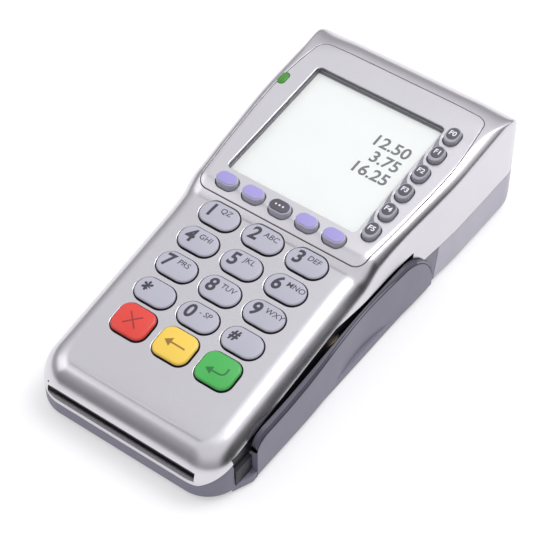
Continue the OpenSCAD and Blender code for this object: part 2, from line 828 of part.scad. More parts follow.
module battery_pack()
    color([0.5, 0.5, 0.56])
        difference() {
            translate([0, (battery_y0 + battery_y1) / 2, 0])
                plate(2 * battery_half, battery_y1 - battery_y0, 3, base_lift,
                      battery_top);
            for (x = [-10, -5, 0, 5, 10])
                block(x - 0.8, x + 0.8, battery_y0 + 4, battery_y0 + 14, 0,
                      base_lift + 0.6);
        }

// Paper door and hinge

module paper_door()
    color([0.72, 0.72, 0.77])
        difference() {
            intersection() {
                body();
                door_profile(0);
            }
            difference() {
                body(wall);
                for (sx = [-1, 1])
                    hull()
                        block(sx * (cheek_inner + 0.6) - 1.3, sx * (cheek_inner + 0.6) + 1.3, platen_mid - 6.5, platen_mid + 2.1, 0,
                              platen_z - 4.5);
                for (sx = [-1, 1])
                    hull()
                        block(sx * 18 - 1, sx * 18 + 1, hinge_mid + 4.6, hinge_mid + 10.6, 0,
                              3.4);
                for (sx = [-1, 0, 1])
                    hull()
                        block(sx * 12 - 0.8, sx * 12 + 0.8, platen_mid - 0.5, tail_y - 3, 0, 9);
            }
            for (sx = [-1, 1])
                hull()
                    block(sx * 34.8 - 2.4, sx * 34.8 + 2.4, hinge_mid - 11.4, hinge_mid + 3.6,
                          -5, 9);
            hull()
                block(-cheek_inner, cheek_inner, platen_mid + 3.5, tail_y + 21, rear_joint - 1.3, 30);
            side_groove();
        }

// Shallow groove along the foot of the door.
module side_groove()
    for (sx = [-1, 1])
        hull() {
            translate([sx * head_half, door_front - 0.6, 3.6])
                cube([1, 1, 0.5], center = true);
            translate([sx * head_half, door_front + 14.4, 1.6])
                cube([1, 1, 0.4], center = true);
        }

module lug(x0, x1, y0, y1, bore)
    difference() {
        union() {
            rod_x(2.1, x0, x1, hinge_mid, hinge_z);
            block(x0, x1, y0, y1, wall + base_lift + 0.1, hinge_z + 1.4);
        }
        rod_x(bore, x0 - 1, x1 + 1, hinge_mid, hinge_z);
    }

module hinge_mounts()
    color([0.5, 0.5, 0.54])
        for (x = [-36.6, 33])
            lug(x, x + 3.6, hinge_mid - 7, hinge_mid, pin_radius);

module hinge_arms()
    color([0.5, 0.5, 0.54])
        for (x = [-31.8, 27.8])
            lug(x, x + 4, hinge_mid, hinge_mid + 10.1, pin_radius + running);

module hinge_pin()
    color([0.75, 0.75, 0.77])
        rod_x(pin_radius, -37.5, 37.5, hinge_mid, hinge_z);

// Printer

// Spur gear, centred on y, z, with one tooth at angle phase from +Y towards +Z.
module gear(teeth, phase, bore, x0, x1, y, z) {
    pitch = teeth * tooth_module / 2;
    step = 360 / teeth;
    root = pitch - 1.15 * tooth_module;
    tip = pitch + 0.8 * tooth_module;
    translate([x0, y, z])
        rotate([90, 0, 90])
            difference() {
                linear_extrude(x1 - x0)
                    polygon([for (k = [0:teeth - 1])
                        let (a = phase + k * step)
                        each [root * [cos(a - 0.3 * step), sin(a - 0.3 * step)],
                              tip * [cos(a - 0.11 * step), sin(a - 0.11 * step)],
                              tip * [cos(a + 0.11 * step), sin(a + 0.11 * step)],
                              root * [cos(a + 0.3 * step), sin(a + 0.3 * step)]]]);
                translate([0, 0, -1])
                    cylinder(r = bore, h = x1 - x0 + 2);
            }
}

// Idler centre from the two centre distances.
near = tooth_module * (pinion_teeth + idler_teeth) / 2;
far = tooth_module * (idler_teeth + platen_teeth) / 2;
span = norm([platen_mid - motor_y, platen_z - motor_z]);
along = (near * near - far * far + span * span) / (2 * span);
aside = sqrt(near * near - along * along);
toward = [(platen_mid - motor_y) / span, (platen_z - motor_z) / span];
idler_y = motor_y + toward[0] * along + toward[1] * aside;
idler_z = motor_z + toward[1] * along - toward[0] * aside;
pinion_to_idler = atan2(idler_z - motor_z, idler_y - motor_y);
idler_to_platen = atan2(platen_z - idler_z, platen_mid - idler_y);
idler_phase = pinion_to_idler + 180 + 180 / idler_teeth;
platen_phase = idler_to_platen + 180 + 180 / platen_teeth
    - (idler_phase - idler_to_platen) * idler_teeth / platen_teeth;

module motor_pinion()
    color([0.85, 0.83, 0.75])
        union() {
            gear(pinion_teeth, pinion_to_idler, 0.5, gear_x - gear_width / 2,
                 gear_x + gear_width / 2, motor_y, motor_z);
            rod_x(1, gear_x - gear_width / 2 - 0.5, -cheek_inner + 6, motor_y, motor_z);
        }

module idler_gear()
    color([0.85, 0.83, 0.75])
        gear(idler_teeth, idler_phase, 1.2 + running, gear_x - gear_width / 2,
             gear_x + gear_width / 2, idler_y, idler_z);

module idler_axle()
    color([0.75, 0.75, 0.77])
        union() {
            rod_x(1.2, gear_x - gear_width / 2 - 1.4, -cheek_inner - cheek, idler_y, idler_z);
            rod_x(2, gear_x - gear_width / 2 - 1.4, gear_x - gear_width / 2 - 0.4, idler_y,
                  idler_z);
        }

module platen_gear()
    color([0.85, 0.83, 0.75])
        gear(platen_teeth, platen_phase, shaft_radius, gear_x - gear_width / 2,
             gear_x + gear_width / 2, platen_mid, platen_z);

module platen_shaft()
    color([0.75, 0.75, 0.77])
        rod_x(shaft_radius, gear_x - gear_width / 2 - 0.6, cheek_inner + 3, platen_mid, platen_z);

module platen_rubber()
    color([0.1, 0.1, 0.1])
        difference() {
            rod_x(platen_radius, -paper_width / 2 - 0.3, paper_width / 2 + 0.3, platen_mid,
                  platen_z);
            rod_x(shaft_radius, -40, 40, platen_mid, platen_z);
        }

module platen_carrier()
    color([0.3, 0.3, 0.33])
        for (x = [-cheek_inner - 1.6, cheek_inner - 0.8])
            difference() {
                union() {
                    rod_x(3, x, x + 2.4, platen_mid, platen_z);
                    block(x, x + 2.4, platen_mid - 3, platen_mid + 2, platen_z - 4.5, platen_z);
                }
                rod_x(shaft_radius + running, x - 1, x + 4, platen_mid, platen_z);
            }

frame_rear = platen_mid + 5;
frame_top = motor_z + motor_radius + 2.1;
head_pivot_y = platen_mid - 3.3;
head_pivot_z = platen_z + platen_radius + 3.3;

module printer_frame()
    color([0.6, 0.6, 0.63])
        union() {
            difference() {
                for (x = [-cheek_inner - cheek, cheek_inner])
                    block(x, x + cheek, idler_y - 3, frame_rear, platen_z + 6.6, frame_top);
                rod_x(1.6, -cheek_inner - 3, -cheek_inner + 1, motor_y, motor_z);
            }
            block(-cheek_inner - cheek, cheek_inner + cheek, frame_rear - 8, frame_rear,
                  frame_top - 1.6, frame_top);
            rod_x(1.2, -cheek_inner, cheek_inner, frame_rear + 0.5, platen_z + 8.4);
            for (x = [-cheek_inner - cheek, cheek_inner])
                block(x, x + cheek, frame_rear - 1.5, frame_rear + 1.7, platen_z + 7, platen_z + 10);
            rod_x(1, -cheek_inner, -cheek_inner + 1.8, head_pivot_y, head_pivot_z);
            rod_x(1, cheek_inner - 1.8, cheek_inner, head_pivot_y, head_pivot_z);
        }

module thermal_head()
    color([0.82, 0.82, 0.8])
        union() {
            block(1.8 - cheek_inner, cheek_inner - 1.8, head_pivot_y - 0.6, head_pivot_y + 9.4,
                  platen_z + platen_radius + 0.2, platen_z + platen_radius + 1.5);
            for (x = [0.4 - cheek_inner, cheek_inner - 2.2])
                difference() {
                    union() {
                        rod_x(1.8, x, x + 1.8, head_pivot_y, head_pivot_z);
                        block(x, x + 1.8, head_pivot_y - 0.6, head_pivot_y + 3,
                              platen_z + platen_radius + 0.2, head_pivot_z);
                    }
                    rod_x(1 + running, x - 1, x + 3, head_pivot_y, head_pivot_z);
                }
        }

// Leaf spring from the frame bar down to the back of the head.
module head_spring()
    color([0.75, 0.75, 0.77])
        translate([-8, frame_rear, platen_z])
            rotate([90, 0, 90])
                linear_extrude(24)
                    polygon([[0.5, 9.6], [0.7, 10], [-2.5, 9.6], [-5.5, 7.4], [-7.1, 7.2],
                             [-7.1, 6.8], [-5.3, 7], [-2.3, 9.2]]);

module stepper_motor()
    color([0.7, 0.7, 0.72])
        difference() {
            rod_x(motor_radius, -cheek_inner, 15 - cheek_inner, motor_y, motor_z);
            rod_x(1 + running, -cheek_inner - 1, 6.5 - cheek_inner, motor_y, motor_z);
        }

module paper_roll()
    color([0.96, 0.96, 0.94])
        difference() {
            rod_x(roll_radius, -paper_width / 2, paper_width / 2, roll_mid, roll_z);
            rod_x(6, -60, 60, roll_mid, roll_z);
        }

// Feet and screws

module rubber_feet()
    color([0.12, 0.12, 0.12])
        for (p = [[-30, nose_y + 27], [30, nose_y + 27], [-37, slot_y1 - 8],
                  [37, slot_y1 - 8]])
            translate([p[0], p[1], 0])
                cylinder(r = 3, h = base_lift);

module case_screws()
    color([0.6, 0.6, 0.62])
        for (i = [0:3])
            translate([boss_places[i][0], boss_places[i][1], 0]) {
                translate([0, 0, 1])
                    cylinder(r = 2.1, h = 1.2);
                cylinder_from(1.2, 1.6, i < 2 ? 13 : 25.5);
            }

module cylinder_from(radius, z0, z1)
    translate([0, 0, z0])
        cylinder(r = radius, h = z1 - z0);

// Drawing

top_case();
display_panel();
display_lens();
lcd_module();
display_board();
status_light();
base_shell();
swipe_liner();
mag_head();
mag_head_spring();
keypad_mat();
keypad_board();
main_board();
card_reader();
battery_pack();
paper_door();
hinge_mounts();
hinge_arms();
hinge_pin();
printer_frame();
thermal_head();
head_spring();
stepper_motor();
motor_pinion();
idler_gear();
idler_axle();
platen_carrier();
platen_shaft();
platen_rubber();
platen_gear();
paper_roll();
rubber_feet();
case_screws();
key_1();
key_2();
key_3();
key_4();
key_5();
key_6();
key_7();
key_8();
key_9();
key_star();
key_0();
key_hash();
key_cancel();
key_clear();
key_enter();
soft_key_1();
soft_key_2();
soft_key_3();
soft_key_4();
soft_key_middle();
function_key_0();
function_key_1();
function_key_2();
function_key_3();
function_key_4();
function_key_5();
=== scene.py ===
import math

import bmesh
import bpy
import numpy as np
from mathutils import Matrix, Vector
from mathutils.bvhtree import BVHTree
from mathutils.interpolate import poly_3d_calc


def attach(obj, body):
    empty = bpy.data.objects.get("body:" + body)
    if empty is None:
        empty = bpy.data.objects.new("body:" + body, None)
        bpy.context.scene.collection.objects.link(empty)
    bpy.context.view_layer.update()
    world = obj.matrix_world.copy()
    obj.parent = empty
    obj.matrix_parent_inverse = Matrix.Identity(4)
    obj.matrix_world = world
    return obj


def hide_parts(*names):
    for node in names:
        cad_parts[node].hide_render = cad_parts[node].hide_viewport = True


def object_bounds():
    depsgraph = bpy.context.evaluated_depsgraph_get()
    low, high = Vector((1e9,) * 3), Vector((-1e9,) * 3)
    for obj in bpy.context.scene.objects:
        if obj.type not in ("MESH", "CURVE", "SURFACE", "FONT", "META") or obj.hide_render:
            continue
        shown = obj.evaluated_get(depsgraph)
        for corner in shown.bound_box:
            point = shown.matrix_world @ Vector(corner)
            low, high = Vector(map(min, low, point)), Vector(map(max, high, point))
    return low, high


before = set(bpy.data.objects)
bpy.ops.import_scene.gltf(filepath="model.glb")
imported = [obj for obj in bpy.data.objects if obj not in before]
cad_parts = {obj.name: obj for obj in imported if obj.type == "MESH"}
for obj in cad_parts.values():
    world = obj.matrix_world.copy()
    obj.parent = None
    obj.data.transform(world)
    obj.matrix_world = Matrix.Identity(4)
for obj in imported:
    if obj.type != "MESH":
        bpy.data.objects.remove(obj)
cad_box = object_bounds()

# All lengths below are millimetres, in the frame of the part.
MM = 0.001

# Case
NOSE_Y, TAIL_Y = -99.0, 99.0
HEAD_HALF, KEYPAD_HALF = 45.8, 43.0
WALL, BASE_LIFT, SEAM = 2.0, 0.8, 0.3
FRONT_JOINT, REAR_JOINT = 8.3, 19.5
NOSE_CORNER, TAIL_CORNER, TAIL_GROWTH = 14.0, 12.8, 14.5
NOSE_RUN, NOSE_DROP = 9.5, 12.0
TAIL_RUN, TAIL_DROP = 21.7, 29.4
SHOULDER_HEAD, SHOULDER_KEYPAD = 5.5, 10.5
HEM, TAIL_HEM, TAIL_HEM_RUN = 2.6, 21.6, 21.6
RISE_X, RISE_SLOPE = 33.0, 0.594

# Keypad
KEYPAD_TILT, KEYPAD_HEIGHT, KEYS_Y, KEYPAD_X = math.radians(10.6), 37.4, -12.0, -1.1
COLUMN_PITCH, ROW_PITCH, COMMAND_PITCH = 20.0, 13.28, 14.0
COMMAND_COLUMNS, COMMAND_X = 19.3, -0.9
KEY_LENGTH, KEY_WIDTH, KEY_RISE, KEY_GAP = 16.8, 10.3, 1.5, 0.35
COMMAND_LENGTH, COMMAND_WIDTH, COMMAND_CORNER = 15.6, 13.2, 4.2
COMMAND_RISE, COMMAND_EDGE = KEY_RISE + 0.4, 0.9
KEY_DOME, MENU_DOME = 48.0, 30.0
# SHADE_SKIRT_OVER is how far the painted shade skirt of a key stands out from its cap.
FLANGE, STEM_RADIUS, SHADE_SKIRT_OVER = 0.7, 2.0, 0.04

# Display
DISPLAY_TILT, DISPLAY_HEIGHT, GLASS_Y = math.radians(6.2), 43.2, 6.5
WINDOW_WIDTH, WINDOW_LENGTH, WINDOW_X = 59.2, 60.8, -2.2
LIGHT_X, LIGHT_ALONG, LIGHT_WIDTH, LIGHT_LENGTH = -39.9, 48.0, 3.2, 6.2
PANEL_HALF, PANEL_WIDEST, PANEL_Y0, PANEL_Y1 = 41.1, 50.0, -4.9, 79.0
PANEL_WAIST, PANEL_TAPER, PANEL_CORNER, PANEL_FOOT = 3.9, 2.9, 4.5, 36.6
SOFT_LENGTH, SOFT_WIDTH, SOFT_DROP = 9.2, 6.2, 1.8
SOFT_PITCH, SOFT_ROW, SOFT_X = 12.26, -6.0, -2.4
FUNCTION_WIDTH, FUNCTION_LENGTH, FUNCTION_PITCH = 5.6, 8.0, 10.88
FUNCTION_START, FUNCTION_X = 3.5, 32.2
MENU_RISE = 2.4
BODY_RISE, TIP_EDGE, TIP_FLOOR = MENU_RISE - 0.25, 0.3, 0.2
STEP_START, STEP_LENGTH = GLASS_Y - 15.5, 10.0

# Swipe slot
SLOT_FACE, SLOT_WIDTH, SLOT_FLOOR, SLOT_TOP, SLOT_LIP = 41.7, 1.3, 13.0, 29.5, 31.5
SLOT_Y1, GUIDE_Y0, LINER_Y0, LINER = 22.0, -80.0, -87.4, 1.0
GUIDE_HEIGHT, MAG_Y, MAG_Z = 27.8, -27.0, 20.0
GUIDE_FRONT, GUIDE_BEVEL, WAIST_Y, TOE_TOP = -78.4, 1.5, -10.0, 4.7
SLOT_BACK, SLOT_START = SLOT_FACE - LINER, LINER_Y0 - 0.2
MAG_HALF_LENGTH, MAG_HALF_HEIGHT = 7.2, 5.4

# Door, printer, battery and card slot
HINGE_Y, HINGE_Z, HINGE_RADIUS, DOOR_FRONT = 41.4, 5.0, 4.9, 38.6
PLATEN_Y, PLATEN_Z, CHEEK_INNER, FRAME_TOP = 86.5, 15.0, 30.0, 39.6
BATTERY_HALF, BATTERY_Y0, BATTERY_Y1, BATTERY_GAP = 33.0, -28.0, 32.0, 0.4
CARD_WIDTH, CARD_Z, CARD_GAP, CARD_X, MOUTH = 67.6, 11.0, 1.4, -1.0, 4.5
CARD_X0, CARD_X1 = CARD_X - CARD_WIDTH / 2, CARD_X + CARD_WIDTH / 2
CARD_Z0 = CARD_Z - CARD_GAP / 2

# Screws and the posts of the printer
BOSS_RADIUS, SCREW_RADIUS, SCREW_HEAD = 3.0, 1.4, 2.5
FRONT_BOSSES = [(x, NOSE_Y + 15) for x in (-34.5, 34.5)]
REAR_BOSSES = [(x, SLOT_Y1 + 6) for x in (-39.6, 39.6)]
PRINTER_POSTS = [(x, PLATEN_Y) for x in (-24, 24)]

# Rounding of edges in the moulded pieces
EDGE, PANEL_EDGE, CAP_EDGE = 0.35, 0.15, 0.7

# Distances beyond the case, across and along
FAR, END = 60, 120

# Layer of ink over and under the surface, and the longest side of its triangles
INK_ABOVE, INK_BELOW, INK_SIDE = 0.02, 0.05, 1.1


# Curves of the case

def ramp(t):
    u = np.clip(t, 0.0, 1.0)
    return u * u * (3 - 2 * u)


def keypad_line(y):
    return KEYPAD_HEIGHT + (y - KEYS_Y) * math.tan(KEYPAD_TILT)


def display_line(y):
    return DISPLAY_HEIGHT + (y - GLASS_Y) * math.tan(DISPLAY_TILT)


def crown(y):
    low = keypad_line(y)
    return low + (display_line(y) - low) * ramp((y - STEP_START) / STEP_LENGTH)


def half_width(y):
    return KEYPAD_HALF + (HEAD_HALF - KEYPAD_HALF) * ramp((y - GLASS_Y + 1.5) / 50)


def shoulder(y):
    return SHOULDER_KEYPAD + (SHOULDER_HEAD - SHOULDER_KEYPAD) * ramp((y - GLASS_Y + 26.5) / 40)


def inset(radius, t, r):
    """How far a rounded edge steps in, t under the skin and r of the way round it."""
    return t + np.maximum(1.0, radius - t) * r


def quarter(count):
    """Angles over a quarter turn."""
    return np.radians(np.linspace(0, 90, count))


CORNER_STEPS, TURN_STEPS, HEM_STEPS = quarter(19), quarter(17), quarter(9)[::-1]
SIDE_STEPS = np.unique(np.concatenate([np.linspace(0.008, 0.992, 84), np.linspace(0.4, 0.58, 52)]))


# t is the depth under the skin, r runs from 0 to 1 round the rounded edge, and hem picks the lower edge.
def nose_points(a, t, r, hem):
    s = inset(HEM if hem else SHOULDER_KEYPAD, t, r)
    f = s if hem else inset(NOSE_RUN, t, r)
    rx = max(3.0, NOSE_CORNER - s)
    ry = rx if hem else max(5.0, NOSE_CORNER - 0.6 * f)
    return np.stack([KEYPAD_HALF - s - rx + rx * np.sin(a),
                     NOSE_Y + f + ry - ry * np.cos(a), -np.cos(a) ** 2], 1)


def tail_points(a, t, r, hem):
    s = inset(HEM if hem else SHOULDER_HEAD, t, r)
    g = inset(TAIL_HEM_RUN if hem else TAIL_RUN, t, r)
    c = TAIL_CORNER if hem else TAIL_CORNER + TAIL_GROWTH * r
    rx, ry = max(3.0, c - s), max(6.0, c - (0.4 if hem else 0.56) * g)
    return np.stack([HEAD_HALF - s - rx + rx * np.cos(a),
                     TAIL_Y - g - ry + ry * np.sin(a), np.sin(a) ** 2], 1)


def half_ring(t, r, hem):
    nose = nose_points(CORNER_STEPS, t, r, hem)
    tail = tail_points(CORNER_STEPS, t, r, hem)
    y = nose[-1, 1] + (tail[0, 1] - nose[-1, 1]) * SIDE_STEPS
    width = inset(HEM, t, r) if hem else inset(shoulder(y), t, r)
    side = np.stack([half_width(y) - width, y, np.zeros_like(y)], 1)
    front = np.stack([nose[0] * (k, 1, 1) for k in (0.05, 0.5)])
    back = np.stack([tail[-1] * (k, 1, 1) for k in (0.5, 0.05)])
    return np.concatenate([front, nose, side, tail, back])


def mix_ends(end, nose, side, tail):
    """Value at the nose for -1, at the side for 0 and at the tail for 1."""
    return np.where(end < 0, side + (nose - side) * -end, side + (tail - side) * end)


def ring(t, a, hem):
    r, c = 1 - math.cos(a), 1 - math.sin(a)
    p = half_ring(t, r, hem)
    if hem:
        z = BASE_LIFT + t + c * np.maximum(0.6, mix_ends(p[:, 2], HEM, HEM, TAIL_HEM) - t)
    else:
        y = p[:, 1]
        z = crown(y) - t - c * (mix_ends(p[:, 2], NOSE_DROP, shoulder(y), TAIL_DROP) - t)
    half = np.stack([p[:, 0], p[:, 1], z], 1)
    return np.concatenate([half, half[::-1] * (-1, 1, 1)])


def ring_faces(n, rings):
    """Faces between rings of n points each."""
    return [(k + i, k + (i + 1) % n, k + n + (i + 1) % n, k + n + i)
            for k in range(0, n * (rings - 1), n) for i in range(n)]


def ring_stack(rings):
    """Closed body of mirrored rings, no higher than the solids."""
    n = len(rings[0])
    last = (len(rings) - 1) * n
    faces = ring_faces(n, len(rings))
    faces += [(n - 1 - i, n - 2 - i, i + 1, i) for i in range(n // 2 - 1)]
    faces += [(last + i, last + i + 1, last + n - 2 - i, last + n - 1 - i) for i in range(n // 2 - 1)]
    points = np.concatenate(rings)
    points[:, 2] = np.minimum(points[:, 2], cad_box[1][2] / MM)
    return points, faces


def body_mesh(t):
    return ring_stack([ring(t, a, True) for a in HEM_STEPS] + [ring(t, a, False) for a in TURN_STEPS])


# Solids and cuts, in millimetres on scratch objects

def new_mesh(name, points, faces):
    mesh = bpy.data.meshes.new(name)
    mesh.from_pydata(points, [], faces)
    return mesh


def new_object(name, data):
    piece = bpy.data.objects.new(name, data)
    bpy.context.collection.objects.link(piece)
    return piece


def solid(points, faces):
    points = [tuple(map(float, p)) for p in points]
    return new_object("scratch", new_mesh("scratch", points, [tuple(f) for f in faces]))


def drop(piece):
    mesh = piece.data
    bpy.data.objects.remove(piece)
    bpy.data.meshes.remove(mesh)


def as_solid(shape):
    return shape if isinstance(shape, bpy.types.Object) else solid(*shape)


def combine(a, b, operation):
    """Changes a by b; each is a scratch object, or its points and faces."""
    a, b = as_solid(a), as_solid(b)
    step = a.modifiers.new("step", "BOOLEAN")
    step.operation, step.object, step.solver = operation, b, "MANIFOLD"
    graph = bpy.context.evaluated_depsgraph_get()
    mesh = bpy.data.meshes.new_from_object(a.evaluated_get(graph))
    a.modifiers.clear()
    if not mesh.polygons:
        raise RuntimeError("a cut left nothing")
    old, a.data = a.data, mesh
    bpy.data.meshes.remove(old)
    drop(b)
    return a


def cut(a, *tools):
    for tool in tools:
        a = combine(a, tool, "DIFFERENCE")
    return a


def meet(a, b):
    return combine(a, b, "INTERSECT")


def join(parts):
    points, faces, first = [], [], 0
    for p, f in parts:
        points.append(np.asarray(p, float))
        faces += [tuple(i + first for i in face) for face in f]
        first += len(p)
    return np.concatenate(points), faces


def place(points, matrix):
    m = np.array(matrix)
    return np.asarray(points, float) @ m[:3, :3].T + m[:3, 3]


def prism(outline, z0, z1, matrix=None):
    n = len(outline)
    flat = np.asarray(outline, float)
    points = np.concatenate([np.column_stack([flat, np.full(n, z)]) for z in (z0, z1)])
    faces = [tuple(range(n - 1, -1, -1)), tuple(range(n, 2 * n))] + ring_faces(n, 2)
    return (place(points, matrix) if matrix is not None else points), faces


def corners(x0, x1, y0, y1):
    return [(x0, y0), (x1, y0), (x1, y1), (x0, y1)]


def box(x0, x1, y0, y1, z0, z1):
    return prism(corners(x0, x1, y0, y1), z0, z1)


def boxes(centres, half, *limits):
    return join([box(x - half, x + half, *limits) for x in centres])


def layer(y0, y1, z0, z1):
    """Block across the whole width."""
    return box(-FAR, FAR, y0, y1, z0, z1)


def circle(x, y, r, n=32):
    turns = [2 * math.pi * i / n for i in range(n)]
    return [(x + r * math.cos(a), y + r * math.sin(a)) for a in turns]


def posts(places, radius, z0, z1):
    return join([prism(circle(x, y, radius, 24), z0, z1) for x, y in places])


def rounded(length, width, corner=math.inf, arc=9):
    """Outline of a rounded rectangle, anticlockwise."""
    r = min(corner, width / 2, length / 2)
    points = []
    for k, (sx, sy) in enumerate(((1, 1), (-1, 1), (-1, -1), (1, -1))):
        cx, cy = sx * (length / 2 - r), sy * (width / 2 - r)
        for i in range(arc + 1):
            a = math.radians(90 * (k + i / arc))
            p = (cx + r * math.cos(a), cy + r * math.sin(a))
            if not points or math.dist(points[-1], p) > 1e-6:
                points.append(p)
    if math.dist(points[0], points[-1]) < 1e-6:
        points.pop()
    return points


def unit(rows):
    return rows / np.linalg.norm(rows, axis=1)[:, None]


def outward(outline):
    p = np.asarray(outline, float)
    step = np.roll(p, -1, 0) - np.roll(p, 1, 0)
    return unit(np.stack([step[:, 1], -step[:, 0]], 1))


def grown(outline, distance):
    return np.asarray(outline, float) + outward(outline) * distance


def mitred(points, g):
    """Polygon with every edge moved out by g."""
    p = np.asarray(points, float)
    out = []
    for i in range(len(p)):
        a, b, c = p[i - 1], p[i], p[(i + 1) % len(p)]
        u, v = (b - a) / np.linalg.norm(b - a), (c - b) / np.linalg.norm(c - b)
        n, m = np.array([u[1], -u[0]]), np.array([v[1], -v[0]])
        out.append(b + (n + m) * g / (1 + n @ m))
    return out


def tilted(y, z, tilt, x, along):
    """Frame on a plane that starts at y and z and rises by a tilt."""
    return (Matrix.Translation((0, y, z)) @ Matrix.Rotation(tilt, 4, "X")
            @ Matrix.Translation((x, along, 0)))


def keypad_frame(column, row):
    x, along = KEYPAD_X + (column - 1) * COLUMN_PITCH, row * ROW_PITCH
    if row == 4:
        x, along = COMMAND_X + (column - 1) * COMMAND_COLUMNS, 3 * ROW_PITCH + COMMAND_PITCH
    return tilted(KEYS_Y, KEYPAD_HEIGHT, KEYPAD_TILT, x, -along)


def display_frame(x, along):
    return tilted(GLASS_Y, DISPLAY_HEIGHT, DISPLAY_TILT, x, along)


# Side view: u runs along Y, v along Z, and the depth along X.
SIDE_VIEW = Matrix(((0, 0, 1, 0), (1, 0, 0, 0), (0, 1, 0, 0), (0, 0, 0, 1)))


# The skin, for heights and normals

CASE = body_mesh(0)
SKIN_POINTS, SKIN_FACES = CASE
whole = solid(*CASE)
SKIN_NORMALS = np.array([v.normal[:] for v in whole.data.vertices])
drop(whole)
SKIN_TRIS = [t for a, b, c, d in SKIN_FACES for t in ((a, b, c), (a, c, d))]
SKIN = BVHTree.FromPolygons([tuple(p) for p in SKIN_POINTS], SKIN_TRIS)

# How far over a frame's plane a ray down to the skin starts
CAST_START = 25.0


def skin_normal(point, index):
    tri = SKIN_TRIS[index]
    weights = poly_3d_calc([Vector(SKIN_POINTS[i]) for i in tri], point)
    normal = sum((Vector(SKIN_NORMALS[i]) * w for i, w in zip(tri, weights)), Vector())
    return normal.normalized()


def skin_below(x, y, matrix):
    """Height of the skin over a frame's plane, and its normal."""
    origin = matrix @ Vector((x, y, CAST_START))
    down = -(matrix.to_3x3() @ Vector((0, 0, 1)))
    spot, _, index, distance = SKIN.ray_cast(origin, down)
    if spot is None:
        raise RuntimeError("no skin below")
    return CAST_START - distance, skin_normal(spot, index)


# Pieces

def corner_normals(points, faces, angle):
    """For each corner, the mean normal of the faces round it that turn by less than the angle."""
    points = np.asarray(points, float)
    cosine = math.cos(math.radians(angle))
    areas, units = [], []
    around = [[] for _ in points]
    for k, face in enumerate(faces):
        p = points[list(face)]
        n = np.cross(p, np.roll(p, -1, 0)).sum(0)
        size = np.linalg.norm(n)
        areas.append(n)
        units.append(n / size if size > 0 else n)
        for i in face:
            around[i].append(k)
    result = []
    for k, face in enumerate(faces):
        result.append([])
        for i in face:
            total = np.zeros(3)
            for j in around[i]:
                if j == k or units[j] @ units[k] > cosine:
                    total = total + areas[j]
            size = np.linalg.norm(total)
            result[k].append(total / size if size > 0 else units[k])
    return result


class Shape:
    """Collects meshes with their corner normals and material places."""

    def __init__(self):
        self.points, self.faces, self.normals, self.slots = [], [], [], []

    def add(self, points, faces, normals=None, slot=0, angle=30):
        if normals is None:
            normals = corner_normals(points, faces, angle)
        first = len(self.points)
        self.points += [tuple(map(float, p)) for p in points]
        self.faces += [tuple(i + first for i in face) for face in faces]
        self.normals += [tuple(map(float, n)) for face in normals for n in face]
        self.slots += [slot] * len(faces)

    def band(self, rows, slot=0):
        """Closed rows, each with its points and normals, joined to the next."""
        points, normals = [np.concatenate(part) for part in zip(*rows)]
        faces = ring_faces(len(rows[0][0]), len(rows))
        self.add(points, faces, [[normals[i] for i in f] for f in faces], slot)

    def take(self, piece):
        """Takes a scratch solid, its skin shaded from the whole case."""
        points = [v.co.copy() for v in piece.data.vertices]
        polygons = [p for p in piece.data.polygons if p.area >= 1e-7]
        faces = [tuple(p.vertices) for p in polygons]
        normals = corner_normals(points, faces, 35)
        found = {}
        for k, polygon in enumerate(polygons):
            _, normal, _, distance = SKIN.find_nearest(polygon.center)
            if distance < 0.03 and polygon.normal @ normal > 0.8:
                for i in faces[k]:
                    if i not in found:
                        spot, _, index, _ = SKIN.find_nearest(points[i])
                        found[i] = skin_normal(spot, index)
                normals[k] = [found[i] for i in faces[k]]
        self.add(points, faces, normals)
        drop(piece)
        return self

    def build(self, name, materials):
        mesh = new_mesh(name, [(x * MM, y * MM, z * MM) for x, y, z in self.points], self.faces)
        for item in materials:
            mesh.materials.append(item)
        mesh.polygons.foreach_set("material_index", self.slots)
        mesh.polygons.foreach_set("use_smooth", [True] * len(self.faces))
        mesh.normals_split_custom_set(self.normals)
        mesh.update()
        return new_object(name, mesh)


def add_piece(shape, name, materials, body, node=None):
    """Builds a piece that rides on a body, and may stand for a node and take a finish."""
    piece = shape.build(name, materials)
    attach(piece, body)
    if node:
        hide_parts(node)


def lip(shape, outline, matrix, radius, side=1, wall_shade_slot=0):
    """Rounded edge that follows the skin: side 1 round a hole, -1 round a plate."""
    flat = np.asarray(outline, float)
    away = outward(flat) * side
    turn = np.array(matrix.to_3x3())
    away3 = np.column_stack([away, np.zeros(len(away))]) @ turn.T
    down = np.tile(-(turn @ np.array([0, 0, 1.0])), (len(flat), 1))

    def row(at, height, normals):
        return place(np.column_stack([at, height]), matrix)[::side], normals[::side]

    rows = []
    for a in quarter(6):
        at = flat + away * radius * (1 - math.sin(a))
        found = [skin_below(x, y, matrix) for x, y in at]
        height = np.array([f[0] for f in found]) - radius * (1 - math.cos(a))
        skin = np.array([f[1][:] for f in found])
        rows.append(row(at, height, skin * math.cos(a) - away3 * math.sin(a)))
    shape.band(rows)
    low = height + radius - WALL
    # The wall and the ledge under it take wall_shade_slot, which in the window is painted shade.
    shape.band([row(flat, height, -away3), row(flat, low, -away3)], wall_shade_slot)
    shape.band([row(flat, low, down), row(flat + away * radius, low, down)], wall_shade_slot)


# Materials

def new_node(tree, kind, inputs={}, **settings):
    """Node with its settings, and its inputs as values or as links."""
    item = tree.nodes.new("ShaderNode" + kind)
    for name, value in settings.items():
        setattr(item, name, value)
    for socket, value in inputs.items():
        if isinstance(value, bpy.types.NodeSocket):
            tree.links.new(value, item.inputs[socket])
        else:
            item.inputs[socket].default_value = value
    return item


def computed(tree, operation, *values):
    return new_node(tree, "Math", dict(enumerate(values)), operation=operation).outputs[0]


